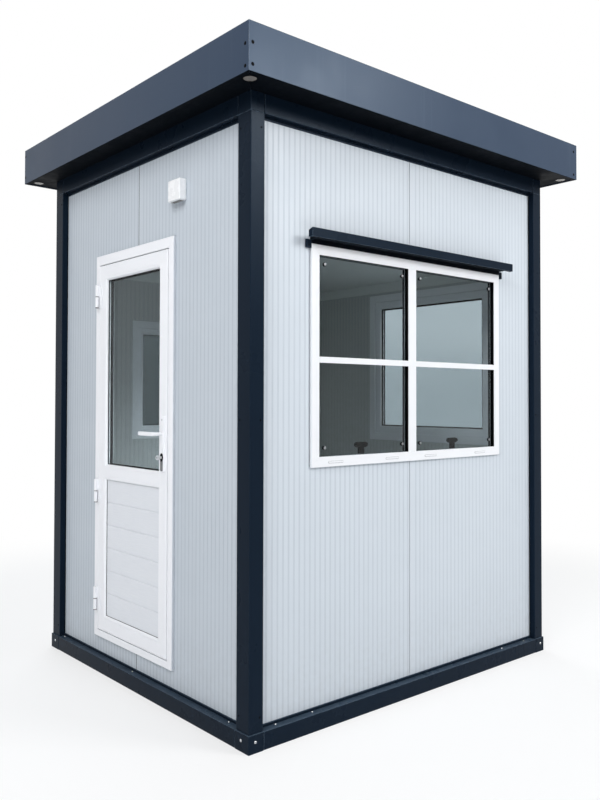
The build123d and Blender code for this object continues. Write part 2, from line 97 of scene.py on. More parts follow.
# rings of points, skinned one to the next and closed at both ends
def loft(mesh, rings, finish=0):
    made = [[mesh.verts.new(point) for point in ring] for ring in rings]
    faces = [mesh.faces.new(made[0][::-1]), mesh.faces.new(made[-1])]
    for low, high in zip(made, made[1:]):
        for i in range(len(low)):
            j = (i + 1) % len(low)
            faces.append(mesh.faces.new((low[i], low[j], high[j], high[i])))
    for face in faces:
        face.material_index = finish
    return faces


# an outline (along, up) drawn on a wall's face or in plan, given a thickness
def slab(mesh, facing, outline, near, far, finish=0):
    return loft(mesh, [[place(facing, a, b, out) for a, b in outline] for out in (near, far)], finish)


# a section (out, up) run along a wall between two places
def run(mesh, facing, section, start, end, finish=0):
    return loft(mesh, [[place(facing, a, up, out) for out, up in section] for a in (start, end)], finish)


# a section (along, out) run upwards between two levels
def upright(mesh, facing, section, low, high, finish=0):
    return loft(mesh, [[place(facing, a, up, out) for a, out in section] for up in (low, high)], finish)


def block(mesh, low, high, soft=0.0, finish=0, steps=2):
    faces = slab(mesh, "top", corners(low[0], high[0], low[1], high[1]), low[2], high[2], finish)
    if soft:
        bmesh.ops.bevel(
            mesh, geom=list({edge for face in faces for edge in face.edges}), offset=soft, offset_type="OFFSET",
            segments=steps, profile=0.5, affect="EDGES", clamp_overlap=True,
        )


# the same block, given by its place on a wall
def wallBlock(mesh, facing, along, up, out, soft=0.0, finish=0, steps=2):
    pairs = list(zip(place(facing, along[0], up[0], out[0]), place(facing, along[1], up[1], out[1])))
    block(mesh, [min(pair) for pair in pairs], [max(pair) for pair in pairs], soft, finish, steps)


# a profile (radius, along) turned about an axis
def turned(mesh, centre, axis, profile, steps=24, finish=0):
    axis = Vector(axis).normalized()
    side = axis.orthogonal().normalized()
    other = axis.cross(side)
    rings = []
    for radius, along in profile:
        middle = Vector(centre) + axis * along
        offsets = [(side * c + other * s) * radius for c, s in circle(steps)] if radius else [Vector()]
        rings.append([mesh.verts.new(middle + offset) for offset in offsets])
    for low, high in zip(rings, rings[1:]):
        for i in range(steps):
            j = (i + 1) % steps
            if len(low) == 1:
                spots = (low[0], high[i], high[j])
            elif len(high) == 1:
                spots = (low[i], low[j], high[0])
            else:
                spots = (low[i], low[j], high[j], high[i])
            mesh.faces.new(spots).material_index = finish


# the end loops of a frame's four mitred bars. Section points are (edge, inset, out): edge 0 counts from the
# outside of the frame and edge 1 from its sight line, so the four bars can differ in width.
def mitredEnds(facing, rect, widths, section, joint):
    left, right, bottom, top = rect
    loops = []
    for edge, inset, out in section:
        inLeft, inRight, inBottom, inTop = (edge * width + inset for width in widths)
        spots = corners(left + inLeft, right - inRight, bottom + inBottom, top - inTop)
        loops.append([Vector(place(facing, a, b, out)) for a, b in spots])
    for i in range(4):
        ways = ((i, (i + 1) % 4), ((i + 1) % 4, i))
        yield [[loop[a] + (loop[b] - loop[a]).normalized() * joint for loop in loops] for a, b in ways]


def mitredFrame(mesh, facing, rect, widths, section, radius=0.0, joint=0.0003, finish=0):
    widths = widths if isinstance(widths, tuple) else (widths,) * 4
    section = rounded(section, radius) if radius else section
    for ends in mitredEnds(facing, rect, widths, section, joint):
        loft(mesh, ends, finish)


# the section of a plain bar; inset keeps its outside edge off its neighbour
def barSection(near, far, inset=0):
    return [(0, inset, near), (0, inset, far), (1, 0, far), (1, 0, near)]


def addObject(name, data):
    made = bpy.data.objects.new(name, data)
    scene.collection.objects.link(made)
    return made


def cutBox(mesh, facing, along, up, out):
    tool = bmesh.new()
    wallBlock(tool, facing, along, up, out)
    objects = []
    for source in (mesh, tool):
        bmesh.ops.recalc_face_normals(source, faces=source.faces)
        data = bpy.data.meshes.new("cutting")
        source.to_mesh(data)
        objects.append(addObject("cutting", data))
    cut = objects[0].modifiers.new("cut", "BOOLEAN")
    cut.operation, cut.solver, cut.object = "DIFFERENCE", "EXACT", objects[1]
    evaluated = objects[0].evaluated_get(bpy.context.evaluated_depsgraph_get())
    mesh.clear()
    mesh.from_mesh(evaluated.to_mesh())
    for each in objects:
        data = each.data
        bpy.data.objects.remove(each)
        bpy.data.meshes.remove(data)
    tool.free()


# turns a mesh into a named piece; finishNames and standsFor are names with spaces between
def makePiece(name, mesh, finishNames, standsFor="", body="cabin", smooth=38):
    bmesh.ops.recalc_face_normals(mesh, faces=mesh.faces)
    data = bpy.data.meshes.new(name)
    mesh.to_mesh(data)
    mesh.free()
    for finishName in finishNames.split():
        data.materials.append(finishes[finishName])
    data.shade_smooth()
    data.set_sharp_from_angle(angle=math.radians(smooth))
    piece = addObject(name, data)
    piece.modifiers.new("evenShading", "WEIGHTED_NORMAL").keep_sharp = True
    if standsFor:
        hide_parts(*standsFor.split())
    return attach(piece, body)


# a screw or bolt head; the first ring is a thin washer
def domeHead(mesh, facing, along, up, out, radius, height, recess=True):
    profile = [(0, -0.001), (radius * 1.12, -0.001), (radius * 1.12, height * 0.18), (radius, height * 0.25)]
    for i in range(1, 5):
        a = math.radians(i * 18)
        profile.append((radius * math.cos(a), height * (0.25 + 0.75 * math.sin(a))))
    if recess:
        profile += [(radius * 0.28, height * 0.98), (radius * 0.24, height * 0.45), (0, height * 0.45)]
    else:
        profile.append((0, height))
    turned(mesh, place(facing, along, up, out), place(facing, 0, 0, 1), profile, 16)


# sizes from the frame
halfWidth, halfDepth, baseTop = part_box("base_frame")[1]
postLow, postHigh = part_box("post_front_right")
postX, postY, wallTop = postHigh.x, -postLow.y, postHigh.z
postInX, postInY = postLow.x, -postHigh.y
sideLow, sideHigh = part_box("right_wall_front")
frontLow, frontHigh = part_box("front_wall_left")
skinX, roomX = sideHigh.x, sideLow.x
skinY, roomY = -frontLow.y, -frontHigh.y
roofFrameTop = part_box("roof_frame")[1].z
fasciaLow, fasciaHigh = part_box("fascia_right")
fasciaX, fasciaTop, fasciaBottom = fasciaHigh.x, fasciaHigh.z, fasciaLow.z
fasciaY = -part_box("fascia_front")[0].y
fasciaThick = fasciaHigh.x - fasciaLow.x


# the four walls, each with its facing, how far out it lies and how far it goes to either side
def fourWalls(endReach, endAcross, sideReach, sideAcross):
    return (
        ("front", endReach, endAcross), ("back", endReach, endAcross),
        ("right", sideReach, sideAcross), ("left", sideReach, sideAcross),
    )


def setInputs(node, inputs):
    for key, value in inputs.items():
        if isinstance(value, bpy.types.NodeSocket):
            node.id_data.links.new(value, node.inputs[key])
        else:
            node.inputs[key].default_value = value
    return node


def addNode(tree, kind, inputs=None, **settings):
    made = tree.nodes.new(kind)
    for key, value in settings.items():
        setattr(made, key, value)
    return setInputs(made, inputs or {})


# a shader group; an input that starts as a tuple is a vector, and the outputs are masks or heights
def newGroup(name, outputs="Mask", **inputs):
    tree = bpy.data.node_groups.new(name, "ShaderNodeTree")
    for label, value in inputs.items():
        kind = "NodeSocketVector" if isinstance(value, tuple) else "NodeSocketFloat"
        tree.interface.new_socket(name=label, in_out="INPUT", socket_type=kind).default_value = value
    for label in outputs.split():
        tree.interface.new_socket(name=label, in_out="OUTPUT", socket_type="NodeSocketFloat")
    return tree, tree.nodes.new("NodeGroupInput").outputs, tree.nodes.new("NodeGroupOutput")


def calculate(tree, operation, a, b, clamp=False):
    return addNode(tree, "ShaderNodeMath", {0: a, 1: b}, operation=operation, use_clamp=clamp).outputs[0]


def mapRange(tree, value, low, high, toLow=0.0, toHigh=1.0, kind="SMOOTHSTEP"):
    return addNode(
        tree, "ShaderNodeMapRange",
        {"Value": value, "From Min": low, "From Max": high, "To Min": toLow, "To Max": toHigh},
        interpolation_type=kind,
    ).outputs["Result"]


def objectPoint(tree):
    return addNode(tree, "ShaderNodeTexCoord").outputs["Object"]


def upPart(tree, vector):
    return addNode(tree, "ShaderNodeSeparateXYZ", {0: vector}).outputs["Z"]


def noise(tree, scale, detail, stretch=(1.0, 1.0, 1.0), **more):
    point = addNode(tree, "ShaderNodeMapping", {"Vector": objectPoint(tree), "Scale": stretch}).outputs[0]
    inputs = {"Vector": point, "Scale": scale, "Detail": detail, **more}
    return addNode(tree, "ShaderNodeTexNoise", inputs).outputs["Fac"]


# the last step of a mask group: the mask, scaled by the group's amount
def giveMask(tree, given, put, mask):
    setInputs(put, {"Mask": calculate(tree, "MULTIPLY", mask, given["Amount"])})


# slow change of tone over a surface
slowDrift, given, put = newGroup("slowDrift", Scale=2.0, Amount=0.5)
broad = noise(slowDrift, given["Scale"], 4.0, Roughness=0.6)
giveMask(slowDrift, given, put, mapRange(slowDrift, broad, 0.3, 0.7))

# thin marks that rain leaves down a surface
rainMarks, given, put = newGroup("rainMarks", Spacing=30.0, Amount=0.3)
lines = mapRange(rainMarks, noise(rainMarks, given["Spacing"], 3.0, (1.0, 1.0, 0.035)), 0.55, 0.75)
patches = mapRange(rainMarks, noise(rainMarks, 2.5, 2.0, (1.0, 1.0, 0.4)), 0.4, 0.65)
giveMask(rainMarks, given, put, calculate(rainMarks, "MULTIPLY", lines, patches))

# splash and dust that thin out with height; on the room's walls this layer is painted light, paler low down
footDust, given, put = newGroup("footDust", Low=0.0, High=0.5, Amount=0.3)
height = upPart(footDust, objectPoint(footDust))
rise = mapRange(footDust, height, given["Low"], given["High"], 1.0, 0.0, "LINEAR")
specks = mapRange(footDust, noise(footDust, 28.0, 6.0, Roughness=0.7), 0.3, 0.72)
giveMask(footDust, given, put, calculate(footDust, "MULTIPLY", rise, specks))

# a mask that grows down a pane: it lays a clear coat there, and a darker tint that is painted shade
lowFilm, given, put = newGroup("lowFilm", Low=1.4, High=1.8, Amount=1.0)
sink = mapRange(lowFilm, upPart(lowFilm, objectPoint(lowFilm)), given["Low"], given["High"], 1.0, 0.0)
cloud = mapRange(lowFilm, noise(lowFilm, 2.2, 3.0), 0.3, 0.7, 0.82, 1.0)
giveMask(lowFilm, given, put, calculate(lowFilm, "MULTIPLY", sink, cloud))

# painted light on faces that look up: they are made lighter, as light from above and its reflection would make
# them
ledgeDust, given, put = newGroup("ledgeDust", Amount=0.5)
upward = upPart(ledgeDust, addNode(ledgeDust, "ShaderNodeNewGeometry").outputs["Normal"])
upward = mapRange(ledgeDust, upward, 0.55, 0.98)
topSpeckle = mapRange(ledgeDust, noise(ledgeDust, 14.0, 5.0, Roughness=0.65), 0.25, 0.6, 0.6, 1.0)
giveMask(ledgeDust, given, put, calculate(ledgeDust, "MULTIPLY", upward, topSpeckle))

# painted light along the edges: a highlight where a finish's edge tone is lighter, shade where it is darker,
# and partly paint worn thin
edgeRub, given, put = newGroup("edgeRub", Radius=0.002, Amount=0.5)
soft = addNode(edgeRub, "ShaderNodeBevel", {"Radius": given["Radius"]}, samples=4).outputs["Normal"]
plain = addNode(edgeRub, "ShaderNodeNewGeometry").outputs["Normal"]
turnOff = addNode(edgeRub, "ShaderNodeVectorMath", {0: soft, 1: plain}, operation="DOT_PRODUCT")
edges = mapRange(edgeRub, turnOff.outputs["Value"], 0.995, 0.86)
patches = mapRange(edgeRub, noise(edgeRub, 60.0, 3.0), 0.25, 0.6, 0.35, 1.0)
giveMask(edgeRub, given, put, calculate(edgeRub, "MULTIPLY", edges, patches))

# the small unevenness of a sprayed or moulded skin
skinTexture, given, put = newGroup("skinTexture", "Height", Peel=500.0, Wave=12.0)
fine = calculate(skinTexture, "MULTIPLY", noise(skinTexture, given["Peel"], 2.0), 0.25)
wave = noise(skinTexture, given["Wave"], 1.0)
setInputs(put, {"Height": calculate(skinTexture, "ADD", fine, wave)})

# long fine lines along one direction, as on drawn plastic and brushed metal
drawnGrain, given, put = newGroup("drawnGrain", "Mask Height", Across=(1.0, 1.0, 1.0), Scale=300.0, Amount=0.3)
stretched = {0: objectPoint(drawnGrain), 1: given["Across"]}
point = addNode(drawnGrain, "ShaderNodeVectorMath", stretched, operation="MULTIPLY").outputs["Vector"]
inputs = {"Vector": point, "Scale": given["Scale"], "Detail": 4.0, "Roughness": 0.65}
drawn = addNode(drawnGrain, "ShaderNodeTexNoise", inputs).outputs["Fac"]
giveMask(drawnGrain, given, put, mapRange(drawnGrain, drawn, 0.35, 0.7))
setInputs(put, {"Height": drawn})
print("shader groups made")


def shade(tone):
    return (*(part / 12.92 if part <= 0.04045 else ((part + 0.055) / 1.055) ** 2.4 for part in tone), 1.0)


def useGroup(tree, group, **values):
    return setInputs(addNode(tree, "ShaderNodeGroup", node_tree=group), values).outputs


def mixColour(tree, factor, first, second):
    return addNode(tree, "ShaderNodeMix", {0: factor, 6: first, 7: second}, data_type="RGBA").outputs[2]


def mixShader(tree, factor, first, second):
    return addNode(tree, "ShaderNodeMixShader", {0: factor, 1: first, 2: second}).outputs["Shader"]


def newMaterial(name):
    material = bpy.data.materials.new(name)
    material.use_nodes = True
    return material, material.node_tree, material.node_tree.nodes["Principled BSDF"]


# the rest of every finish: its colour, its patchy roughness between two values, and its skin with any grain
def dressShader(tree, shader, look, colour, patches, grain=None):
    fine, broad, strength, depth = look["skin"]
    height = useGroup(tree, skinTexture, Peel=fine, Wave=broad)["Height"]
    if grain:
        height = calculate(tree, "ADD", height, grain)
    bump = addNode(tree, "ShaderNodeBump", {"Strength": strength, "Distance": depth, "Height": height})
    roughness = mapRange(tree, patches, 0.0, 1.0, *look["roughness"])
    setInputs(shader, {"Base Color": colour, "Roughness": roughness, "Normal": bump.outputs["Normal"]})


layerGroups = {
    "grain": (drawnGrain, ("Amount", "Across", "Scale")), "rain": (rainMarks, ("Amount", "Spacing")),
    "dust": (footDust, ("Amount", "Low", "High")), "ledge": (ledgeDust, ("Amount",)),
    "rub": (edgeRub, ("Amount", "Radius")),
}


# every solid finish: layers of grain, rain marks, dust (on the room's walls painted light), painted light on
# up-facing faces, and painted edge highlights and shade with some wear, over two drifting tones
def solidFinish(name, look):
    material, tree, shader = newMaterial(name)
    shader.inputs["Metallic"].default_value = look.get("metallic", 0.0)
    shader.inputs["Specular IOR Level"].default_value = look.get("specular", 0.5)
    shader.inputs["Specular Tint"].default_value = look.get("sheen", (1.0, 1.0, 1.0, 1.0))
    scale, amount = look["drift"]
    drift = useGroup(tree, slowDrift, Scale=scale, Amount=amount)
    colour = mixColour(tree, drift["Mask"], *(shade(tone) for tone in look["tones"]))
    layers = {}
    for key, (group, labels) in layerGroups.items():
        if key in look:
            *values, tone = look[key]
            layers[key] = useGroup(tree, group, **dict(zip(labels, values)))
            colour = mixColour(tree, layers[key]["Mask"], colour, shade(tone))
    patches = useGroup(tree, slowDrift, Scale=scale * 4, Amount=1.0)
    grain = layers["grain"]["Height"] if "grain" in layers else None
    dressShader(tree, shader, look, colour, patches["Mask"], grain)
    return material


# clear or tinted glass; lamps shine through it, and towards its foot a clear coat can haze it and a darker tint
# paints shade
def glassFinish(name, look):
    material, tree, shader = newMaterial(name)
    shader.inputs["Metallic"].default_value = 0.0
    shader.inputs["Transmission Weight"].default_value = 1.0
    shader.inputs["IOR"].default_value = 1.12
    drift = useGroup(tree, slowDrift, Scale=0.8, Amount=0.6)
    colour = mixColour(tree, drift["Mask"], *look["tints"])
    # the low tint is painted shade: the foot of a pane is made darker
    if "lowTint" in look:
        low, high = look["lowSpan"]
        lower = useGroup(tree, lowFilm, Low=low, High=high, Amount=1.0)
        colour = mixColour(tree, lower["Mask"], colour, look["lowTint"])
        setInputs(shader, {"Coat Weight": calculate(tree, "MULTIPLY", lower["Mask"], look["lowHaze"])})
    film = useGroup(tree, rainMarks, Spacing=40.0, Amount=1.0)
    dressShader(tree, shader, look, colour, film["Mask"])
    clear = addNode(tree, "ShaderNodeBsdfTransparent", {"Color": look["shadowTint"]}).outputs["BSDF"]
    path = addNode(tree, "ShaderNodeLightPath").outputs["Is Shadow Ray"]
    setInputs(tree.nodes["Material Output"], {"Surface": mixShader(tree, path, shader.outputs["BSDF"], clear)})
    return material


# a blue tint on the paints' reflections: painted colour in the reflected light, bluer than lamps and backdrop
coolSheen = (0.62, 0.80, 1.0, 1.0)
# tones are display values from 0 to 1. drift is (scale, amount), grain (amount, stretch, scale, tone), rain
# (amount, spacing, tone), the height layer of dust and painted light (amount, from level, to level, tone),
# ledge, painted light on faces that look up (amount, tone), the edge layer of painted highlight, shade and
# wear (amount, radius, tone) and skin (fine scale, broad scale, strength, depth)
solidLook = {
    # steelPaint: the fascia's paint made darker, painted shade for the parts below the roof; ledge, edges
    # painted light
    "steelPaint": {
        "tones": ((0.064, 0.106, 0.155), (0.074, 0.119, 0.170)), "drift": (1.1, 0.5),
        "rain": (0.10, 34.0, (0.16, 0.21, 0.26)), "dust": (0.07, 0.0, 0.22, (0.22, 0.24, 0.26)),
        "ledge": (0.62, (0.27, 0.33, 0.39)), "rub": (0.75, 0.003, (0.40, 0.47, 0.54)), "specular": 0.05,
        "sheen": coolSheen, "roughness": (0.27, 0.32), "skin": (700.0, 9.0, 0.04, 0.0008),
    },
    # the fascia's copy of the steel paint, made lighter: painted light; its edges get a painted highlight
    "fasciaPaint": {
        "tones": ((0.186, 0.240, 0.316), (0.200, 0.255, 0.331)), "drift": (1.1, 0.5),
        "rain": (0.12, 34.0, (0.33, 0.38, 0.44)), "rub": (0.45, 0.003, (0.44, 0.50, 0.57)), "specular": 0.14,
        "sheen": coolSheen, "roughness": (0.28, 0.33), "skin": (700.0, 9.0, 0.04, 0.0008),
    },
    # roofPaint's edges get a painted highlight
    "roofPaint": {
        "tones": ((0.165, 0.205, 0.255), (0.200, 0.240, 0.285)), "drift": (1.1, 0.8),
        "dust": (0.30, 2.0, 4.0, (0.42, 0.42, 0.41)), "rub": (0.35, 0.003, (0.40, 0.45, 0.50)),
        "specular": 0.15, "sheen": coolSheen, "roughness": (0.40, 0.55), "skin": (600.0, 7.0, 0.10, 0.0012),
    },
    # also painted shade on the fascia's underside and under the window hood
    "soffitPaint": {
        "tones": ((0.035, 0.050, 0.072), (0.050, 0.065, 0.088)), "drift": (2.0, 0.6),
        "grain": (0.25, (1.0, 1.0, 0.2), 40.0, (0.065, 0.08, 0.10)), "specular": 0.03, "sheen": coolSheen,
        "roughness": (0.5, 0.65), "skin": (500.0, 8.0, 0.12, 0.001),
    },
    "wallCoat": {
        "tones": ((0.765, 0.795, 0.825), (0.750, 0.781, 0.812)), "drift": (1.3, 0.7),
        "rain": (0.12, 26.0, (0.69, 0.715, 0.74)), "dust": (0.20, 0.0, 0.5, (0.64, 0.65, 0.65)),
        "specular": 0.30, "roughness": (0.42, 0.55), "skin": (420.0, 6.0, 0.10, 0.001),
    },
    # the outside grooves' finish is darker: painted shade in the recesses, with some dirt
    "wallGroove": {
        "tones": ((0.725, 0.757, 0.790), (0.705, 0.738, 0.772)), "drift": (3.0, 0.8),
        "rain": (0.20, 20.0, (0.64, 0.67, 0.69)), "dust": (0.25, 0.0, 0.5, (0.60, 0.60, 0.60)),
        "specular": 0.25, "roughness": (0.50, 0.62), "skin": (420.0, 6.0, 0.10, 0.001),
    },
    "whitePlastic": {
        "tones": ((0.950, 0.955, 0.970), (0.937, 0.943, 0.958)), "drift": (1.2, 0.5),
        "grain": (0.06, (1.0, 1.0, 0.04), 260.0, (0.90, 0.907, 0.925)), "specular": 0.30,
        "roughness": (0.30, 0.36), "skin": (260.0, 14.0, 0.04, 0.0006),
    },
    "barEnamel": {
        "tones": ((0.880, 0.888, 0.902), (0.868, 0.877, 0.891)), "drift": (1.2, 0.5),
        "grain": (0.06, (1.0, 1.0, 0.04), 260.0, (0.86, 0.867, 0.88)), "specular": 0.25,
        "roughness": (0.34, 0.42), "skin": (320.0, 14.0, 0.04, 0.0006),
    },
    "boardPlastic": {
        "tones": ((0.892, 0.903, 0.922), (0.872, 0.885, 0.906)), "drift": (1.5, 0.5),
        "grain": (0.40, (0.05, 1.0, 1.0), 220.0, (0.845, 0.860, 0.885)), "specular": 0.35,
        "roughness": (0.34, 0.46), "skin": (260.0, 10.0, 0.22, 0.0012),
    },
    # the room's coat is made paler low down: painted light, where more light reaches
    "roomCoat": {
        "tones": ((0.785, 0.795, 0.788), (0.765, 0.776, 0.770)), "drift": (1.3, 0.7),
        "dust": (0.55, 0.7, 1.9, (0.88, 0.90, 0.905)), "specular": 0.30, "roughness": (0.42, 0.55),
        "skin": (420.0, 6.0, 0.10, 0.001),
    },
    # a lighter copy of the room's coat: painted light, for the light the ceiling gets from below
    "ceilingCoat": {
        "tones": ((0.900, 0.908, 0.905), (0.880, 0.889, 0.887)), "drift": (1.3, 0.7), "specular": 0.30,
        "roughness": (0.42, 0.55), "skin": (420.0, 6.0, 0.10, 0.001),
    },
    # the room's grooves: painted shade in the recesses, and paler low down as painted light
    "roomGroove": {
        "tones": ((0.750, 0.760, 0.756), (0.730, 0.741, 0.737)), "drift": (3.0, 0.8),
        "dust": (0.55, 0.7, 1.9, (0.85, 0.87, 0.875)), "specular": 0.25, "roughness": (0.50, 0.62),
        "skin": (420.0, 6.0, 0.10, 0.001),
    },
    "seamSeal": {
        "tones": ((0.20, 0.215, 0.235), (0.16, 0.175, 0.190)), "drift": (5.0, 0.7), "specular": 0.10,
        "roughness": (0.55, 0.70), "skin": (500.0, 20.0, 0.1, 0.0006),
    },
    "greyRubber": {
        "tones": ((0.58, 0.60, 0.62), (0.52, 0.54, 0.56)), "drift": (6.0, 0.6), "specular": 0.25,
        "roughness": (0.6, 0.75), "skin": (500.0, 20.0, 0.1, 0.0006),
    },
    # a grey strip round the door frame like mastic, as dark as the shade on the frame's sides
    "jointGrey": {
        "tones": ((0.77, 0.79, 0.82), (0.73, 0.75, 0.78)), "drift": (6.0, 0.6), "specular": 0.20,
        "roughness": (0.6, 0.75), "skin": (500.0, 20.0, 0.1, 0.0006),
    },
    "blackRubber": {
        "tones": ((0.025, 0.028, 0.032), (0.040, 0.043, 0.047)), "drift": (7.0, 0.7), "specular": 0.06,
        "roughness": (0.5, 0.68), "skin": (650.0, 25.0, 0.12, 0.0006),
    },
    # the window lining's reveal made grey: painted shade, as the room behind is dark
    "liningGrey": {
        "tones": ((0.15, 0.16, 0.18), (0.12, 0.13, 0.15)), "drift": (5.0, 0.7), "specular": 0.12,
        "roughness": (0.5, 0.65), "skin": (500.0, 18.0, 0.1, 0.0006),
    },
    "spacerMetal": {
        "tones": ((0.84, 0.85, 0.86), (0.76, 0.77, 0.78)), "drift": (14.0, 0.7),
        "grain": (0.3, (1.0, 1.0, 0.1), 400.0, (0.66, 0.67, 0.68)), "specular": 0.4, "roughness": (0.35, 0.5),
        "skin": (700.0, 30.0, 0.08, 0.0003),
    },
    # the catches' edges get a painted highlight
    "latchPlastic": {
        "tones": ((0.018, 0.020, 0.024), (0.034, 0.037, 0.042)), "drift": (9.0, 0.6),
        "rub": (0.2, 0.0015, (0.12, 0.125, 0.13)), "specular": 0.06, "roughness": (0.32, 0.45),
        "skin": (900.0, 30.0, 0.12, 0.0004),
    },
    "brightMetal": {
        "tones": ((0.78, 0.79, 0.80), (0.68, 0.69, 0.70)), "drift": (30.0, 0.7),
        "grain": (0.3, (1.0, 1.0, 0.1), 900.0, (0.6, 0.6, 0.61)), "metallic": 1.0, "roughness": (0.18, 0.34),
        "skin": (1500.0, 60.0, 0.06, 0.0003),
    },
    # the studs' rims are painted darker: painted shade
    "studMetal": {
        "tones": ((0.52, 0.53, 0.54), (0.40, 0.41, 0.42)), "drift": (60.0, 0.8),
        "rub": (0.5, 0.0012, (0.30, 0.31, 0.32)), "metallic": 1.0, "roughness": (0.42, 0.55),
        "skin": (1500.0, 60.0, 0.06, 0.0003),
    },
    "lockSteel": {
        "tones": ((0.56, 0.57, 0.58), (0.38, 0.39, 0.40)), "drift": (40.0, 0.8),
        "grain": (0.4, (1.0, 1.0, 0.1), 900.0, (0.3, 0.3, 0.31)), "metallic": 1.0, "roughness": (0.25, 0.42),
        "skin": (1500.0, 60.0, 0.08, 0.0003),
    },
    # the key's rims are painted darker: painted shade
    "keySteel": {
        "tones": ((0.90, 0.905, 0.91), (0.74, 0.75, 0.76)), "drift": (60.0, 0.7),
        "rub": (0.35, 0.0008, (0.25, 0.25, 0.26)), "metallic": 1.0, "roughness": (0.28, 0.42),
        "skin": (1500.0, 60.0, 0.08, 0.0003),
    },
    "zincSheet": {
        "tones": ((0.52, 0.54, 0.56), (0.42, 0.44, 0.46)), "drift": (9.0, 1.0), "metallic": 0.7,
        "roughness": (0.4, 0.6), "skin": (120.0, 14.0, 0.12, 0.001),
    },
    "floorVinyl": {
        "tones": ((0.66, 0.645, 0.61), (0.60, 0.585, 0.555)), "drift": (45.0, 1.0),
        "grain": (0.35, (0.3, 1.0, 1.0), 120.0, (0.70, 0.68, 0.64)), "specular": 0.4, "roughness": (0.35, 0.5),
        "skin": (300.0, 8.0, 0.08, 0.0006),
    },
    "lampPlastic": {
        "tones": ((0.940, 0.945, 0.952), (0.92, 0.925, 0.93)), "drift": (8.0, 0.5),
        "rain": (0.12, 60.0, (0.80, 0.79, 0.77)), "specular": 0.45, "roughness": (0.22, 0.32),
        "skin": (900.0, 30.0, 0.05, 0.0004),
    },
    "lampLens": {
        "tones": ((0.50, 0.485, 0.47), (0.46, 0.445, 0.43)), "drift": (20.0, 0.6), "specular": 0.25,
        "roughness": (0.12, 0.22), "skin": (250.0, 90.0, 0.25, 0.0008),
    },
    "screwBlack": {
        "tones": ((0.010, 0.014, 0.022), (0.022, 0.027, 0.036)), "drift": (60.0, 0.8), "specular": 0.04,
        "roughness": (0.45, 0.6), "skin": (1500.0, 60.0, 0.1, 0.0003),
    },
}
glassLook = {
    # the panes' lower tint is darker: painted shade on the view through the lower glass
    "paneGlass": {
        "tints": ((0.60, 0.655, 0.675, 1.0), (0.58, 0.635, 0.66, 1.0)), "shadowTint": (0.94, 0.95, 0.95, 1.0),
        "lowTint": (0.40, 0.46, 0.485, 1.0), "lowSpan": (1.45, 1.80), "lowHaze": 0.34, "roughness": (0.0, 0.03),
        "skin": (40.0, 1.2, 0.03, 0.002),
    },
    "unitGlass": {
        "tints": ((0.77, 0.815, 0.835, 1.0), (0.75, 0.80, 0.82, 1.0)), "shadowTint": (0.93, 0.945, 0.945, 1.0),
        "roughness": (0.0, 0.02), "skin": (40.0, 1.2, 0.03, 0.002),
    },
    "deepGlass": {
        "tints": ((0.25, 0.29, 0.30, 1.0), (0.235, 0.275, 0.285, 1.0)), "shadowTint": (0.55, 0.60, 0.61, 1.0),
        "roughness": (0.0, 0.02), "skin": (40.0, 1.2, 0.03, 0.002),
    },
}
finishes = {name: solidFinish(name, look) for name, look in solidLook.items()}
finishes.update({name: glassFinish(name, look) for name, look in glassLook.items()})
print("materials made")

# the camera, with its angles in degrees
cameraLook = {
    "place": (3.5167, -3.0005, 1.4211), "yaw": 49.293, "pitch": 1.1466, "roll": 0.1183,
    "lens": 36.19, "shiftY": -0.0214,
}
lens = bpy.data.cameras.new("boothCamera")
lens.lens, lens.sensor_width, lens.shift_y = cameraLook["lens"], 36.0, cameraLook["shiftY"]
scene.camera = addObject("boothCamera", lens)
scene.camera.matrix_world = Matrix.Translation(cameraLook["place"])
for angle, axis in ((cameraLook["yaw"], "Z"), (90 + cameraLook["pitch"], "X"), (cameraLook["roll"], "Z")):
    scene.camera.matrix_world @= Matrix.Rotation(math.radians(angle), 4, axis)
scene.view_settings.view_transform = "Standard"


# 1 for rays that show the backdrop or floor itself, 0 for rays that only light the booth
def seenDirectly(tree):
    path = addNode(tree, "ShaderNodeLightPath")
    seen = calculate(tree, "ADD", path.outputs["Is Camera Ray"], path.outputs["Is Glossy Ray"])
    return calculate(tree, "ADD", seen, path.outputs["Is Transmission Ray"], True)


# light from all round, brighter from above; what is seen of it is plain white
skyLook = {"above": 0.42, "level": 0.30, "below": 0.22, "tint": (0.97, 0.985, 1.0, 1.0)}
white = (1.0, 1.0, 1.0, 1.0)
world = bpy.data.worlds.new("studio")
scene.world = world
world.use_nodes = True
tree = world.node_tree
tree.nodes.clear()
upward = upPart(tree, addNode(tree, "ShaderNodeTexCoord").outputs["Generated"])
lowPart = mapRange(tree, upward, -1.0, 0.0, skyLook["below"], skyLook["level"], "LINEAR")
highPart = mapRange(tree, upward, 0.0, 1.0, 0.0, skyLook["above"] - skyLook["level"], "LINEAR")
strength = calculate(tree, "ADD", lowPart, highPart)
ambient = addNode(tree, "ShaderNodeBackground", {"Color": skyLook["tint"], "Strength": strength}).outputs[0]
backdrop = addNode(tree, "ShaderNodeBackground", {"Color": white, "Strength": 1.0}).outputs[0]
addNode(tree, "ShaderNodeOutputWorld", {"Surface": mixShader(tree, seenDirectly(tree), ambient, backdrop)})

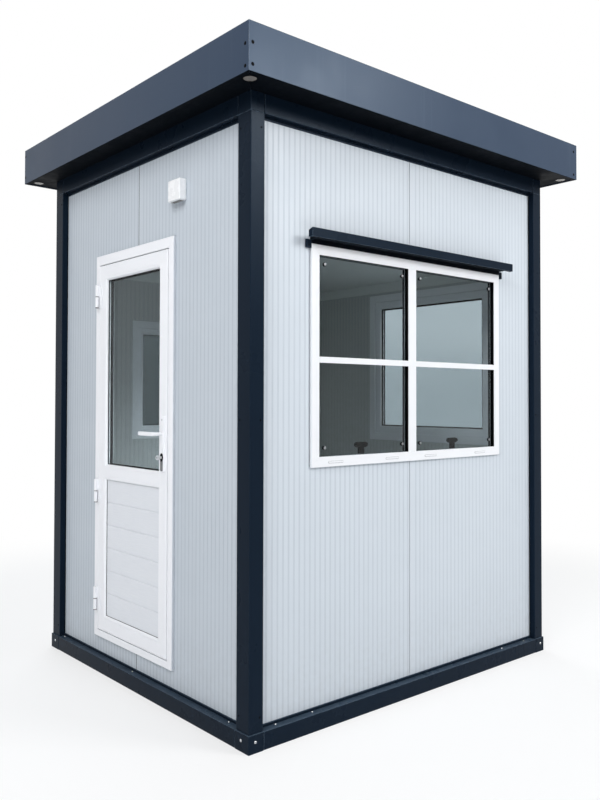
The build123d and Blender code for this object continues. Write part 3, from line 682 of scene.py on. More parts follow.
# each lamp stands off the cabin's middle by a compass direction, turned from +X towards +Y, and a rise
lampSet = {
    "keyRight": {
        "turn": 25, "rise": 26, "away": 7.5, "size": (2.6, 2.0), "power": 282.0, "tint": (1.0, 0.99, 0.98),
    },
    "softLeft": {
        "turn": 160, "rise": 32, "away": 7.5, "size": (4.6, 3.0), "power": 260.0, "tint": (0.94, 0.98, 1.0),
    },
    "fillFront": {
        "turn": -56, "rise": 33, "away": 8.0, "size": (4.0, 4.0), "power": 368.0, "tint": (0.99, 0.99, 1.0),
    },
}
lampAim = Vector((0, 0, 1.5))
for name, look in lampSet.items():
    light = bpy.data.lights.new(name, "AREA")
    light.shape, light.energy, light.color = "RECTANGLE", look["power"], look["tint"]
    light.size, light.size_y = look["size"]
    lamp = addObject(name, light)
    turn, rise = math.radians(look["turn"]), math.radians(look["rise"])
    heading = Vector((math.cos(turn) * math.cos(rise), math.sin(turn) * math.cos(rise), math.sin(rise)))
    lamp.location = lampAim + heading * look["away"]
    lamp.rotation_mode = "QUATERNION"
    lamp.rotation_quaternion = (-heading).to_track_quat("-Z", "Y")

# the floor takes a soft shadow near the booth and is plain white further off
floorLook = {
    "radius": 60.0, "drop": 0.0005, "shadowNear": 2.6, "shadowFar": 4.6, "white": 0.62,
    "tone": (0.86, 0.87, 0.88, 1.0), "roughness": 0.9, "specular": 0.1,
}
mesh = bmesh.new()
turned(mesh, (0, 0, -floorLook["drop"]), (0, 0, 1), [(0, 0), (floorLook["radius"], 0)], 64)
data = bpy.data.meshes.new("studioFloor")
mesh.to_mesh(data)
mesh.free()
addObject("studioFloor", data)
floorMaterial, tree, paper = newMaterial("studioFloor")
paper.inputs["Base Color"].default_value = floorLook["tone"]
paper.inputs["Roughness"].default_value = floorLook["roughness"]
paper.inputs["Specular IOR Level"].default_value = floorLook["specular"]
glow = addNode(tree, "ShaderNodeEmission", {"Color": white, "Strength": 1.0}).outputs[0]
distance = addNode(tree, "ShaderNodeVectorMath", {0: objectPoint(tree)}, operation="LENGTH").outputs["Value"]
share = mapRange(tree, distance, floorLook["shadowNear"], floorLook["shadowFar"], floorLook["white"], 1.0)
share = calculate(tree, "MULTIPLY", share, seenDirectly(tree))
setInputs(tree.nodes["Material Output"], {"Surface": mixShader(tree, share, paper.outputs["BSDF"], glow)})
data.materials.append(floorMaterial)
print("camera, light and floor set")


# four rails round the plan, between the posts' footprints
def railRing(mesh, reachX, reachY, look, low, high):
    gap, soft = look["jointGap"] / 2, look["edgeRound"]
    for way in (-1, 1):
        near, far = sorted((way * reachY, way * (reachY - look["railWidth"])))
        block(mesh, (-postInX + gap, near, low), (postInX - gap, far, high), soft)
        near, far = sorted((way * reachX, way * (reachX - look["railWidth"])))
        block(mesh, (near, -postInY + gap, low), (far, postInY - gap, high), soft)


# the four corners of the plan, as signs along x and y
plusMinus = ((-1, -1), (-1, 1), (1, -1), (1, 1))
# base frame: rails between corner blocks, joists under the floor and bolts near the corners
baseLook = {
    "railWidth": 0.100, "edgeRound": 0.003, "jointGap": 0.0010, "joists": 3, "joistWidth": 0.060,
    "joistTop": 0.075, "joistBottom": 0.015, "boltLevel": 0.045, "boltInset": (0.052, 0.034),
    "boltRadius": 0.0058, "boltHeight": 0.0040, "cornerGap": 0.001,
}
mesh = bmesh.new()
railRing(mesh, halfWidth, halfDepth, baseLook, 0, baseTop)
makePiece("base_rails", mesh, "steelPaint", "base_frame")

mesh = bmesh.new()
gap, inset = baseLook["jointGap"] / 2, baseLook["railWidth"] + baseLook["cornerGap"]
for side, end in plusMinus:
    outline = [
        (side * halfWidth, end * halfDepth), (side * (postInX + gap), end * halfDepth),
        (side * (postInX + gap), end * (halfDepth - inset)),
        (side * (halfWidth - inset), end * (postInY + gap)), (side * halfWidth, end * (postInY + gap)),
    ]
    slab(mesh, "top", rounded(outline, baseLook["edgeRound"]), 0, baseTop)
makePiece("base_corners", mesh, "steelPaint")

mesh = bmesh.new()
half, inner = baseLook["joistWidth"] / 2, halfWidth - baseLook["railWidth"]
for i in range(baseLook["joists"]):
    middle = halfDepth * (2 * (i + 1) / (baseLook["joists"] + 1) - 1)
    low = (-inner, middle - half, baseLook["joistBottom"])
    block(mesh, low, (inner, middle + half, baseLook["joistTop"]), baseLook["edgeRound"])
makePiece("base_joists", mesh, "steelPaint")

mesh = bmesh.new()
endInset, sideInset = baseLook["boltInset"]
for facing, reach, across in fourWalls(halfDepth, halfWidth - endInset, halfWidth, halfDepth - sideInset):
    for spot in (-across, across):
        domeHead(
            mesh, facing, spot, baseLook["boltLevel"], reach, baseLook["boltRadius"], baseLook["boltHeight"]
        )
makePiece("base_bolts", mesh, "brightMetal")
print("base frame built")

# corner posts with a stepped section, seals beside the panels, and screws down their flanges
postLook = {
    "edgeRound": 0.0035, "sealWidth": 0.004, "sealUnder": 0.002, "sealProud": 0.0025, "screwRadius": 0.0035,
    "screwHeight": 0.002, "screwIn": 0.018, "screwRise": 0.060,
}
for side, sideName in ((-1, "left"), (1, "right")):
    for end, endName in ((-1, "front"), (1, "back")):
        mesh = bmesh.new()
        outline = [(side * x, end * y) for x, y in (
            (postX, postY), (postInX, postY), (postInX, skinY), (skinX, skinY), (skinX, postInY),
            (postX, postInY),
        )]
        slab(mesh, "top", rounded(outline, postLook["edgeRound"]), baseTop, wallTop)
        name = f"post_{endName}_{sideName}"
        makePiece(f"corner_{name}", mesh, "steelPaint", name)

trimHeight = 0.015
mesh = bmesh.new()
for facing, reach, inner in fourWalls(skinY, postInX, skinX, postInY):
    for way in (-1, 1):
        near, far = sorted((way * (inner - postLook["sealWidth"]), way * (inner + postLook["sealUnder"])))
        section = rounded(corners(near, far, reach - 0.001, reach + postLook["sealProud"]), 0.0015)
        upright(mesh, facing, section, baseTop + trimHeight, wallTop - trimHeight)
makePiece("post_seals", mesh, "blackRubber")

mesh = bmesh.new()
levels = (baseTop + postLook["screwRise"], wallTop - postLook["screwRise"], (baseTop + wallTop) / 2)
for facing, reach, inner in fourWalls(postY, postInX, postX, postInY):
    for way in (-1, 1):
        for level in levels:
            domeHead(
                mesh, facing, way * (inner + postLook["screwIn"]), level, reach, postLook["screwRadius"],
                postLook["screwHeight"],
            )
makePiece("post_screws", mesh, "screwBlack")
print("posts built")

# roof frame: rails and corner blocks over the posts
roofFrameLook = {"railWidth": 0.088, "edgeRound": 0.003, "jointGap": 0.0024}
mesh = bmesh.new()
gap = roofFrameLook["jointGap"] / 2
railRing(mesh, postX, postY, roofFrameLook, wallTop + gap, roofFrameTop)
for side, end in plusMinus:
    x, y = sorted((side * postX, side * (postInX + gap))), sorted((end * postY, end * (postInY + gap)))
    block(mesh, (x[0], y[0], wallTop + gap), (x[1], y[1], roofFrameTop), roofFrameLook["edgeRound"])
makePiece("roof_frame_rails", mesh, "steelPaint", "roof_frame")
print("roof frame built")

# micro-ribbed wall panels, given by their grooves and the places of their seams
panelLook = {
    "pitch": 0.030, "grooveWidth": 0.0095, "grooveSlope": 0.0034, "grooveDepth": 0.0009, "endPlain": 0.004,
    "seamWidth": 0.004, "seamDepth": 0.004,
    "seams": {"front": -0.030, "right": -0.045, "left": -0.045, "back": 0.030},
}


# the line of a ribbed face from one end to the other, with its grooves; side is 1 outside and -1 inside
def ribLine(start, end, seam, face, side):
    pitch, half, slope = panelLook["pitch"], panelLook["grooveWidth"] / 2, panelLook["grooveSlope"]
    plain, low = panelLook["endPlain"], face - side * panelLook["grooveDepth"]
    points = [(start, face)]
    for i in range(math.ceil((start - seam) / pitch), math.floor((end - plain - half - seam) / pitch + 0.5)):
        left, right = seam + (i + 0.5) * pitch - half, seam + (i + 0.5) * pitch + half
        if left >= start + plain:
            points += [(left, face), (left + slope, low), (right - slope, low), (right, face)]
    return points + [(end, face)]


# one sandwich panel; the first of a pair has a dark tongue that closes the seam towards the second
def wallPanel(name, facing, start, end, seam, hole, standsFor, tongue):
    outer, inner = (skinX, roomX) if facing in ("right", "left") else (skinY, roomY)
    outline = ribLine(start, end, seam, outer, 1)
    if tongue:
        depth, reach = panelLook["seamDepth"], panelLook["seamWidth"]
        tip, near, far = end + reach, outer - depth, inner + depth
        outline += [(end, near), (tip, near), (tip, far), (end, far)]
    outline += ribLine(start, end, seam, inner, -1)[::-1]
    mesh = bmesh.new()
    faces = upright(mesh, facing, outline, baseTop, wallTop)
    # groove faces take darker finishes: painted shade in the grooves, with some dirt outside
    sunk = panelLook["grooveDepth"] * 1.1
    for face, (a, out), (b, outNext) in zip(faces[2:], outline, outline[1:] + outline[:1]):
        middle = (out + outNext) / 2
        if min(a, b) >= end and inner < middle < outer:
            face.material_index = 4
        elif middle > outer - sunk:
            face.material_index = 1 if middle < outer else 0
        elif middle < inner + sunk:
            face.material_index = 3 if middle > inner else 2
    cutBox(mesh, facing, hole[:2], hole[2:], (inner - 0.02, outer + 0.02))
    finishNames = "wallCoat wallGroove roomCoat roomGroove seamSeal"
    makePiece(name, mesh, finishNames, standsFor, smooth=20)


# an opening's rectangle on its wall, given by the node that fills it
def rectOf(node, axis):
    low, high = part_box(node)
    return (low[axis], high[axis], low.z, high.z)


# each wall has two panels that meet at a seam, both cut for its door or window
for facing, opening, firstFor, lastFor in (
    ("front", "door_frame", "front_wall_left", "front_wall_right front_wall_over_door front_wall_under_door"),
    (
        "right", "right_window_frame", "right_wall_front",
        "right_wall_back right_wall_over_window right_wall_under_window",
    ),
    ("left", "left_window_frame", "left_wall", ""),
    ("back", "back_window_frame", "back_wall", ""),
):
    onEnd = facing in ("front", "back")
    firstEnd, lastEnd, reach = ("left", "right", roomX) if onEnd else ("front", "back", skinY)
    half, seam = panelLook["seamWidth"] / 2, panelLook["seams"][facing]
    hole = rectOf(opening, 0 if onEnd else 1)
    wallPanel(f"{facing}_panel_{firstEnd}", facing, -reach, seam - half, seam, hole, firstFor, True)
    wallPanel(f"{facing}_panel_{lastEnd}", facing, seam + half, reach, seam, hole, lastFor, False)
print("wall panels built")

# lips that hold the panels at foot and head, and the screws on the ledge below them
trimLook = {
    "proud": 0.004, "chamfer": 0.003, "ledgeIn": 0.007,
    "ledgeScrews": {
        "front": (-0.82, -0.048, 0.765), "back": (-0.765, 0.048, 0.82),
        "right": (-0.888, -0.685, 0.685, 0.888), "left": (-0.888, -0.685, 0.685, 0.888),
    },
}
lips, screws = bmesh.new(), bmesh.new()
for facing, reach, inner in fourWalls(skinY, postInX, skinX, postInY):
    face = reach + trimLook["proud"]
    for level, way in ((baseTop, 1), (wallTop, -1)):
        tip = level + way * trimHeight
        section = [(reach, level), (face, level), (face, tip - way * trimLook["chamfer"]), (reach, tip)]
        run(lips, facing, rounded(section[::way], 0.001), -inner, inner)
    for spot in trimLook["ledgeScrews"][facing]:
        turned(screws, place(facing, spot, baseTop, face + trimLook["ledgeIn"]), (0, 0, 1), [
            (0, -0.001), (0.0045, -0.001), (0.0045, 0.0008), (0.0034, 0.0028), (0.0020, 0.0036), (0, 0.0036),
        ], 12)
makePiece("panel_lips", lips, "steelPaint", "panel_trims")
makePiece("ledge_screws", screws, "brightMetal")
print("lips and ledge screws built")

# a fascia screw is given by its wall, end, distance from that end, and rises from the lower edge
fasciaLook = {
    "inset": 0.0013, "lip": 0.022, "lipSlope": 0.004, "web": 0.006, "edgeRound": 0.0022, "mitre": 0.0004,
    "dark": 0.0012, "screwRadius": 0.0066, "screwHeight": 0.0012,
    "screws": (
        ("front", 1, 0.0245, (0.024, 0.111)), ("front", -1, 0.0115, (0.038, 0.160)),
        ("right", -1, 0.0205, (0.029, 0.114)), ("right", 1, 0.0325, (0.025, 0.155)),
        ("back", -1, 0.0245, (0.024, 0.111)), ("back", 1, 0.0115, (0.038, 0.160)),
        ("left", 1, 0.0205, (0.029, 0.114)), ("left", -1, 0.0325, (0.025, 0.155)),
    ),
}
inset, lip = fasciaLook["inset"], fasciaLook["lip"]
web, slope = inset + fasciaLook["web"], lip + fasciaLook["lipSlope"]
low, high, thick = fasciaBottom, fasciaTop, fasciaThick
section = rounded([
    (0, inset, low), (0, inset, high), (0, thick, high), (0, thick, high - lip), (0, web, high - slope),
    (0, web, low + slope), (0, thick, low + lip), (0, thick, low),
], fasciaLook["edgeRound"])
bars = mitredEnds("top", (-fasciaX, fasciaX, -fasciaY, fasciaY), (0,) * 4, section, fasciaLook["mitre"])
for name, ends in zip(("front", "right", "back", "left"), bars):
    mesh = bmesh.new()
    # the board's underside takes the dark soffit paint: painted shade under the board
    for face in loft(mesh, ends):
        if all(vert.co.z < low + fasciaLook["dark"] for vert in face.verts):
            face.material_index = 1
    makePiece(f"fascia_board_{name}", mesh, "fasciaPaint soffitPaint", f"fascia_{name}")

mesh = bmesh.new()
for facing, end, back, rises in fasciaLook["screws"]:
    reach, across = (fasciaY, fasciaX) if facing in ("front", "back") else (fasciaX, fasciaY)
    for rise in rises:
        domeHead(
            mesh, facing, end * (across - back), low + rise, reach - inset, fasciaLook["screwRadius"],
            fasciaLook["screwHeight"],
        )
makePiece("fascia_screws", mesh, "screwBlack")
print("fascia built")

# soffit panels, mitred at the corners
soffitLook = {"joint": 0.0015}
soffitLow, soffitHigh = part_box("soffit")
deck = corners(-soffitHigh.x, soffitHigh.x, -soffitHigh.y, soffitHigh.y)
core = corners(-postX, postX, -postY, postY)
mesh = bmesh.new()
for i in range(4):
    outline = [Vector(point) for point in (deck[i], deck[(i + 1) % 4], core[(i + 1) % 4], core[i])]
    middle = sum(outline, Vector((0, 0))) / 4
    tight = [tuple(point + (middle - point).normalized() * soffitLook["joint"]) for point in outline]
    slab(mesh, "top", tight, soffitLow.z, soffitHigh.z)
makePiece("soffit_panels", mesh, "soffitPaint", "soffit")

# downlights: a black ring with a slightly domed lens
downlightLook = {"flange": 0.030, "lens": 0.0268, "depth": 0.034}
lightLow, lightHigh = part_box("soffit_lights")
flange, pane, depth = downlightLook["flange"], downlightLook["lens"], downlightLook["depth"]
mesh = bmesh.new()
for side, end in plusMinus:
    centre = (side * (lightHigh.x - flange), end * (lightHigh.y - flange), lightLow.z)
    turned(mesh, centre, (0, 0, 1), [
        (0, depth), (pane, depth), (pane + 0.001, 0.002), (flange - 0.0004, 0.0016), (flange, 0.0010),
        (flange - 0.0010, 0.0002), (pane + 0.0010, 0.0), (pane + 0.0004, 0.0008), (pane, 0.0030), (0, 0.0030),
    ], 40, 0)
    turned(mesh, centre, (0, 0, 1), [
        (0, 0.0003), (pane * 0.5, 0.0005), (pane * 0.85, 0.0010), (pane - 0.0004, 0.0016),
        (pane - 0.0004, 0.0029), (0, 0.0029),
    ], 40, 1)
makePiece("downlights", mesh, "blackRubber lampLens", "soffit_lights")
print("soffit built")

# roof sheet with ribs and two small beads between each pair, its screws and its flashing
roofLook = {
    "ribs": 9, "foot": 0.060, "crown": 0.030, "bead": 0.014, "beadHigh": 0.003, "sheet": 0.002, "screwRows": 6,
    "screwSpan": 0.9, "flashHigh": 0.050, "flashWide": 0.038,
}
roofLow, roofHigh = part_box("roof_panel")
ribLow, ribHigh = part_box("roof_ribs")
ribPitch = ((ribHigh.x - ribLow.x) - roofLook["foot"]) / (roofLook["ribs"] - 1)
ribSpots = [(i - (roofLook["ribs"] - 1) / 2) * ribPitch for i in range(roofLook["ribs"])]
top = roofHigh.z - roofLook["sheet"]
outline = [(-roofHigh.x, roofLow.z), (roofHigh.x, roofLow.z), (roofHigh.x, top)]


# a raised strip of the roof sheet, from its right foot over the crown to its left foot
def ridge(middle, foot, crown, level):
    return [(middle + foot, top), (middle + crown, level), (middle - crown, level), (middle - foot, top)]


for middle in reversed(ribSpots):
    if middle < ribSpots[-1]:
        for share in (0.66, 0.34):
            bead = roofLook["bead"]
            outline += ridge(middle + ribPitch * share, bead, bead * 0.5, top + roofLook["beadHigh"])
    outline += ridge(middle, roofLook["foot"] / 2, roofLook["crown"] / 2, ribHigh.z)
mesh = bmesh.new()
outline = rounded(outline + [(-roofHigh.x, top)], 0.0025, 2)
loft(mesh, [[(x, y, z) for x, z in outline] for y in (roofLow.y, roofHigh.y)])
makePiece("roof_sheet", mesh, "roofPaint", "roof_panel roof_ribs", smooth=25)

screws, flashing = bmesh.new(), bmesh.new()
for x in ribSpots:
    for row in range(roofLook["screwRows"]):
        y = roofHigh.y * roofLook["screwSpan"] * (2 * row / (roofLook["screwRows"] - 1) - 1)
        turned(screws, (x, y, ribHigh.z), (0, 0, 1), [
            (0, -0.001), (0.008, -0.001), (0.008, 0.0012), (0.0045, 0.0018), (0.0045, 0.0055), (0.0038, 0.0062),
            (0, 0.0064),
        ], 12)
wide, low, high = roofLook["flashWide"], roofHigh.z - 0.001, roofHigh.z + roofLook["flashHigh"]
for facing, reach, across in fourWalls(roofHigh.y, roofHigh.x, roofHigh.x, roofHigh.y):
    section = rounded([
        (reach - 0.0004, low), (reach - 0.0004, high), (reach - 0.002, high),
        (reach - 0.004, roofHigh.z + 0.006), (reach - wide, roofHigh.z + 0.0035), (reach - wide, low),
    ], 0.0012)
    run(flashing, facing, section, -across + wide + 0.003, across - wide - 0.003)
makePiece("roof_screws", screws, "zincSheet")
makePiece("roof_flashing", flashing, "roofPaint")
print("roof built")

# floor: vinyl over an insulated board over a zinc sheet
floorBuild = {"vinyl": 0.004, "sheet": 0.0015}
low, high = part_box("floor_panel")
vinylLow, sheetTop = high.z - floorBuild["vinyl"], low.z + floorBuild["sheet"]
mesh = bmesh.new()
block(mesh, (low.x, low.y, vinylLow), high, 0.0008, 0, 1)
block(mesh, (low.x, low.y, sheetTop), (high.x, high.y, vinylLow), 0.0005, 1, 1)
block(mesh, low, (high.x, high.y, sheetTop), 0.0, 2)
makePiece("floor_boards", mesh, "floorVinyl wallCoat zincSheet", "floor_panel")

low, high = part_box("ceiling_panel")
outline = ribLine(low.x, high.x, 0.0, low.z, -1) + [(high.x, high.z), (low.x, high.z)]
mesh = bmesh.new()
loft(mesh, [[(x, y, z) for x, z in outline] for y in (low.y, high.y)])
makePiece("ceiling_sheet", mesh, "ceilingCoat", "ceiling_panel", smooth=20)

# the cornice takes the ceiling's lighter coat: painted light
cornice = frame["nodes"]["cornice"].data
cornice.materials.clear()
cornice.materials.append(finishes["ceilingCoat"])
print("floor and ceiling built")

# a fine groove in a frame's face, as three points of its section
def fineGroove(inset, level, half=0.0008, deep=0.0009):
    return [(0, inset, level), (0, inset + half, level - deep), (0, inset + 2 * half, level)]


# door frame: mitred bars with a stop
doorLow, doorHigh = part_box("door_frame")
doorFrameLook = {
    "jamb": 0.038, "head": 0.050, "threshold": 0.034, "stop": 0.012, "stopGap": 0.005, "sealWidth": 0.0034,
    "groove": 0.010,
}
leafLow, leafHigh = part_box("door_leaf")
doorFace, doorBack, leafFront, leafBack = -doorLow.y, -doorHigh.y, -leafLow.y, -leafHigh.y
stop, width = doorFrameLook["stop"], doorFrameLook["sealWidth"]
stopFace = leafBack - doorFrameLook["stopGap"]
frameRect = rectOf("door_frame", 0)
frameWidths = tuple(doorFrameLook[key] for key in ("jamb", "jamb", "threshold", "head"))
mesh = bmesh.new()
mitredFrame(mesh, "front", frameRect, frameWidths, [
    (0, 0, doorBack), (0, 0, doorFace), *fineGroove(doorFrameLook["groove"], doorFace), (1, 0, doorFace),
    (1, 0, doorFace - 0.012), (1, -0.0016, doorFace - 0.0125), (1, -0.0016, doorFace - 0.0145),
    (1, 0, doorFace - 0.015), (1, 0, stopFace), (1, stop, stopFace), (1, stop, doorBack),
], 0.0022)
makePiece("door_frame_bars", mesh, "whitePlastic", "door_frame")

# the seal in the jamb, the seal on the stop, and a grey line like mastic over the frame's sides: painted shade
mesh = bmesh.new()
for radius, finish, section in (
    (0.0014, 0, [
        (1, -0.0008, doorFace - 0.0175), (1, -0.0008, doorFace - 0.0085), (1, width, doorFace - 0.0095),
        (1, width, doorFace - 0.0165),
    ]),
    (0.0014, 0, [
        (1, 0.003, stopFace - 0.001), (1, 0.003, stopFace + 0.0030), (1, 0.009, stopFace + 0.0030),
        (1, 0.009, stopFace - 0.001),
    ]),
    (0.0008, 1, [
        (0, -0.0012, skinY - 0.001), (0, -0.0012, skinY + 0.0105), (0, 0.0010, skinY + 0.0115),
        (0, 0.0010, skinY - 0.001),
    ]),
):
    mitredFrame(mesh, "front", frameRect, frameWidths, section, radius, 0.0, finish)
makePiece("door_frame_seals", mesh, "greyRubber jointGrey")
print("door frame built")


# beads and gaskets on both sides of one pane or board: each bead slopes down to it
def glazing(beads, gaskets, facing, sight, faces, panes, bead, gasket):
    rect, gap, lift, backSlope = shrink(sight, -bead), 0.0002, 0.0006, 0.005
    for way, face, pane in zip((1, -1), faces, panes):
        slope = min(0.007, (face - pane) * 0.6) if way > 0 else backSlope
        if abs(face - pane) > 0.003:
            mitredFrame(beads, facing, rect, bead, [
                (0, gap, face), (1, -0.0075, face), (1, 0, face - way * slope), (1, 0, pane + way * lift),
                (0, gap, pane + way * lift),
            ], 0.0014, gap)
        mitredFrame(gaskets, facing, rect, bead, [
            (1, -0.002, pane), (1, gasket, pane), (1, gasket - 0.0012, pane + way * 0.0026),
            (1, -0.002, pane + way * 0.0034),
        ], 0.0008, 0.0)


# an insulated unit: two panes with a spacer bar and its sealant between them near the edge
def glassUnit(name, facing, rect, outFace, inFace, glassName, standsFor, body="cabin"):
    paneThick, spacerDeep, spacerWide = 0.004, 0.0065, 0.0130
    outer, inner = outFace - paneThick, inFace + paneThick
    mesh = bmesh.new()
    for near, far in ((outer, outFace), (inFace, inner)):
        wallBlock(mesh, facing, rect[:2], rect[2:], (near, far), 0.0006, 0, 1)
    for near, far, finish in ((outer - spacerDeep, outer, 1), (inner, outer - spacerDeep, 2)):
        mitredFrame(mesh, facing, rect, spacerWide, barSection(near, far, 0.001), 0.0, 0.0, finish)
    makePiece(name, mesh, f"{glassName} spacerMetal blackRubber", standsFor, body)


# door leaf: mitred bars and a middle rail, with glass above and boards below that go in behind the beads by
# the bite
leafLook = {
    "bite": 0.012, "lip": 0.020, "step": 0.004, "bead": 0.018, "gasket": 0.0042, "boardGasket": 0.0016,
    "boards": 6, "boardJoint": 0.0040,
}
glassLow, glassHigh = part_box("door_glass")
infillLow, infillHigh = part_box("door_panel")
glassSight, panelSight = (shrink(rectOf(node, 0), leafLook["bite"]) for node in ("door_glass", "door_panel"))
bead, lip, step = leafLook["bead"], leafLook["lip"], leafLook["step"]
sightLeft, sightRight, midTop, sightTop = glassSight
stile, rail = sightLeft - leafLow.x - bead, leafHigh.z - sightTop - bead
mesh = bmesh.new()
mitredFrame(mesh, "front", rectOf("door_leaf", 0), (stile, stile, rail, rail), [
    (0, step, leafBack), (0, step, leafFront - lip), (0, 0, leafFront - lip), (0, 0, leafFront),
    *fineGroove(0.0085, leafFront, 0.001, 0.0012), (1, 0, leafFront), (1, 0, leafBack),
], 0.0022)
low, high = panelSight[3] + bead, midTop - bead
section = rounded([(leafFront, low), (leafFront, high), (leafBack, high), (leafBack, low)], 0.0016)
run(mesh, "front", section, sightLeft - bead + 0.0002, sightRight + bead - 0.0002)
makePiece("door_leaf_bars", mesh, "whitePlastic", "door_leaf", "door")

beads, gaskets = bmesh.new(), bmesh.new()
for sight, low, high, gasket in (
    (glassSight, glassLow, glassHigh, leafLook["gasket"]),
    (panelSight, infillLow, infillHigh, leafLook["boardGasket"]),
):
    glazing(beads, gaskets, "front", sight, (leafFront, leafBack), (-low.y, -high.y), bead, gasket)
makePiece("door_beads", beads, "whitePlastic", "", "door")
makePiece("door_gaskets", gaskets, "blackRubber", "", "door")
glassUnit(
    "door_glass_unit", "front", rectOf("door_glass", 0), -glassLow.y, -glassHigh.y, "unitGlass", "door_glass",
    "door",
)

mesh = bmesh.new()
boards, deep = leafLook["boards"], leafLook["boardJoint"]
boardHeight = (panelSight[3] - panelSight[2]) / boards
out, inn = -infillLow.y, -infillHigh.y
levels = [infillLow.z, *(panelSight[2] + i * boardHeight for i in range(1, boards)), infillHigh.z]
for low, high in zip(levels, levels[1:]):
    run(mesh, "front", [
        (out - deep, low), (out - deep, low + 0.0012), (out - 0.0002, low + 0.0030), (out, low + 0.0046),
        (out, high - 0.0052), (out - 0.0012, high - 0.0026), (out - deep, high), (inn + 0.0022, high),
        (inn, high - 0.0030), (inn, low + 0.0030), (inn + 0.0022, low),
    ], infillLow.x, infillHigh.x)
makePiece("door_boards", mesh, "boardPlastic", "door_panel", "door")
print("door leaf built")

# three hinges; the lower knuckle of each rides on the frame and the upper one on the leaf
hingeLook = {
    "levels": (0.371, 0.936, 1.962), "height": 0.122, "radius": 0.009, "leaf": 0.034, "thick": 0.004,
    "neck": 0.003, "washer": 0.0030, "cap": 0.0068, "edge": 0.0012, "screws": (-0.042, 0.0, 0.042),
    "screwOut": 0.022, "screwRadius": 0.0042, "screwHeight": 0.0009,
}
joints = {joint["name"]: joint["pos_m"] for joint in frame["joints"]}
hingeX, hingeY = joints["door_swing"][:2]
neck, washer, radius, plate = (hingeLook[key] for key in ("neck", "washer", "radius", "thick"))
cap, edge, wide = hingeLook["cap"], hingeLook["edge"], hingeLook["leaf"]
frameSide, leafSide = bmesh.new(), bmesh.new()
for level in hingeLook["levels"]:
    foot, head = level - hingeLook["height"] / 2, level + hingeLook["height"] / 2
    length, start = level - foot - 2 * washer, [(0, 0), (radius - edge, 0), (radius, edge)]
    turned(frameSide, (hingeX, hingeY, foot + washer), (0, 0, 1), [
        *start, (radius, length - edge), (radius - edge, length), (0, length),
    ], 28)
    length = head - level
    turned(leafSide, (hingeX, hingeY, level), (0, 0, 1), [
        *start, (radius, length - edge), (radius - 0.0006, length - 0.0022), (cap, length - 0.0012),
        (cap * 0.6, length), (0, length),
    ], 28)
    for low in (foot, level - washer):
        turned(frameSide, (hingeX, hingeY, low), (0, 0, 1), [
            (0, 0), (radius - 0.0010, 0), (radius - 0.0004, 0.0006), (radius - 0.0004, washer - 0.0006),
            (radius - 0.0010, washer - 0.0003), (0, washer - 0.0003),
        ], 28, 1)
    for mesh, way, reach, low, high in (
        (frameSide, -1, doorFace, foot + 0.001, level - washer),
        (leafSide, 1, leafFront, level + 0.0008, head - 0.0008),
    ):
        near, far = sorted((hingeX + way * neck, hingeX + way * (radius - 0.0008)))
        block(mesh, (near, hingeY, low), (far, -reach, high), 0.0008)
        near, far = sorted((hingeX + way * neck, hingeX + way * wide))
        block(mesh, (near, -reach - plate, foot), (far, -reach, head), 0.0014)
        for shift in hingeLook["screws"]:
            domeHead(
                mesh, "front", hingeX + way * hingeLook["screwOut"], level + shift, reach + plate,
                hingeLook["screwRadius"], hingeLook["screwHeight"], recess=False,
            )
makePiece("hinges_on_frame", frameSide, "whitePlastic screwBlack", "frame_hinges")
makePiece("hinges_on_leaf", leafSide, "whitePlastic", "leaf_hinges", "door")
print("hinges built")


# a flat cover with a softened rim, drawn on the wall's face
def cover(mesh, facing, outline, near, far, edge, finish=0):
    points = [Vector(point) for point in outline]
    middle = sum(points, Vector((0, 0))) / len(points)
    way = 1 if far > near else -1
    rings = []
    for pull, out in ((0, near), (0, far - way * edge), (edge * 0.3, far - way * edge * 0.3), (edge, far)):
        ring = []
        for i, point in enumerate(points):
            along = (points[(i + 1) % len(points)] - points[i - 1]).normalized()
            inward = Vector((-along.y, along.x))
            if inward.dot(middle - point) < 0:
                inward = -inward
            ring.append(place(facing, *(point + inward * pull), out))
        rings.append(ring)
    loft(mesh, rings, finish)


# handle plates with a round rose and two screws, on both faces of the leaf
plateLook = {"round": 0.008, "edge": 0.0022, "screwInset": 0.018, "rose": 0.0125}
plateLow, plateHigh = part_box("handle_plates")
spindleX, leverLevel, lockLevel = joints["handle_turn"][0], joints["handle_turn"][2], joints["key_turn"][2]
outline = rounded(corners(plateLow.x, plateHigh.x, plateLow.z, plateHigh.z), plateLook["round"], 6)
rose, inset = plateLook["rose"], plateLook["screwInset"]
plates, screws = bmesh.new(), bmesh.new()
plateFaces = ((-plateLow.y, leafFront, 1), (-plateHigh.y, leafBack, -1))
for out, leafFace, way in plateFaces:
    cover(plates, "front", outline, leafFace, out, plateLook["edge"])
    turned(plates, (spindleX, -out, leverLevel), (0, -way, 0), [
        (0, -0.001), (rose, -0.001), (rose, 0.0012), (rose - 0.0015, 0.0024), (0.0086, 0.0024), (0.0086, 0.0),
        (0, 0.0),
    ], 32)
    for level in (plateLow.z + inset, plateHigh.z - inset):
        turned(screws, (spindleX, -out, level), (0, -way, 0), [
            (0, -0.001), (0.0042, -0.001), (0.0042, 0.0003), (0.0036, 0.0008), (0.0014, 0.0009),
            (0.0011, 0.0002), (0, 0.0002),
        ], 20)
makePiece("handle_covers", plates, "whitePlastic", "handle_plates", "door")
makePiece("handle_cover_screws", screws, "brightMetal", "", "door")

# the two levers and the spindle between them
leverLook = {
    "neck": 0.0078, "bend": 0.016, "height": 0.0098, "thick": 0.0054, "tip": 0.010, "middle": 0.046,
    "reach": 0.138, "spindle": 0.0072,
}


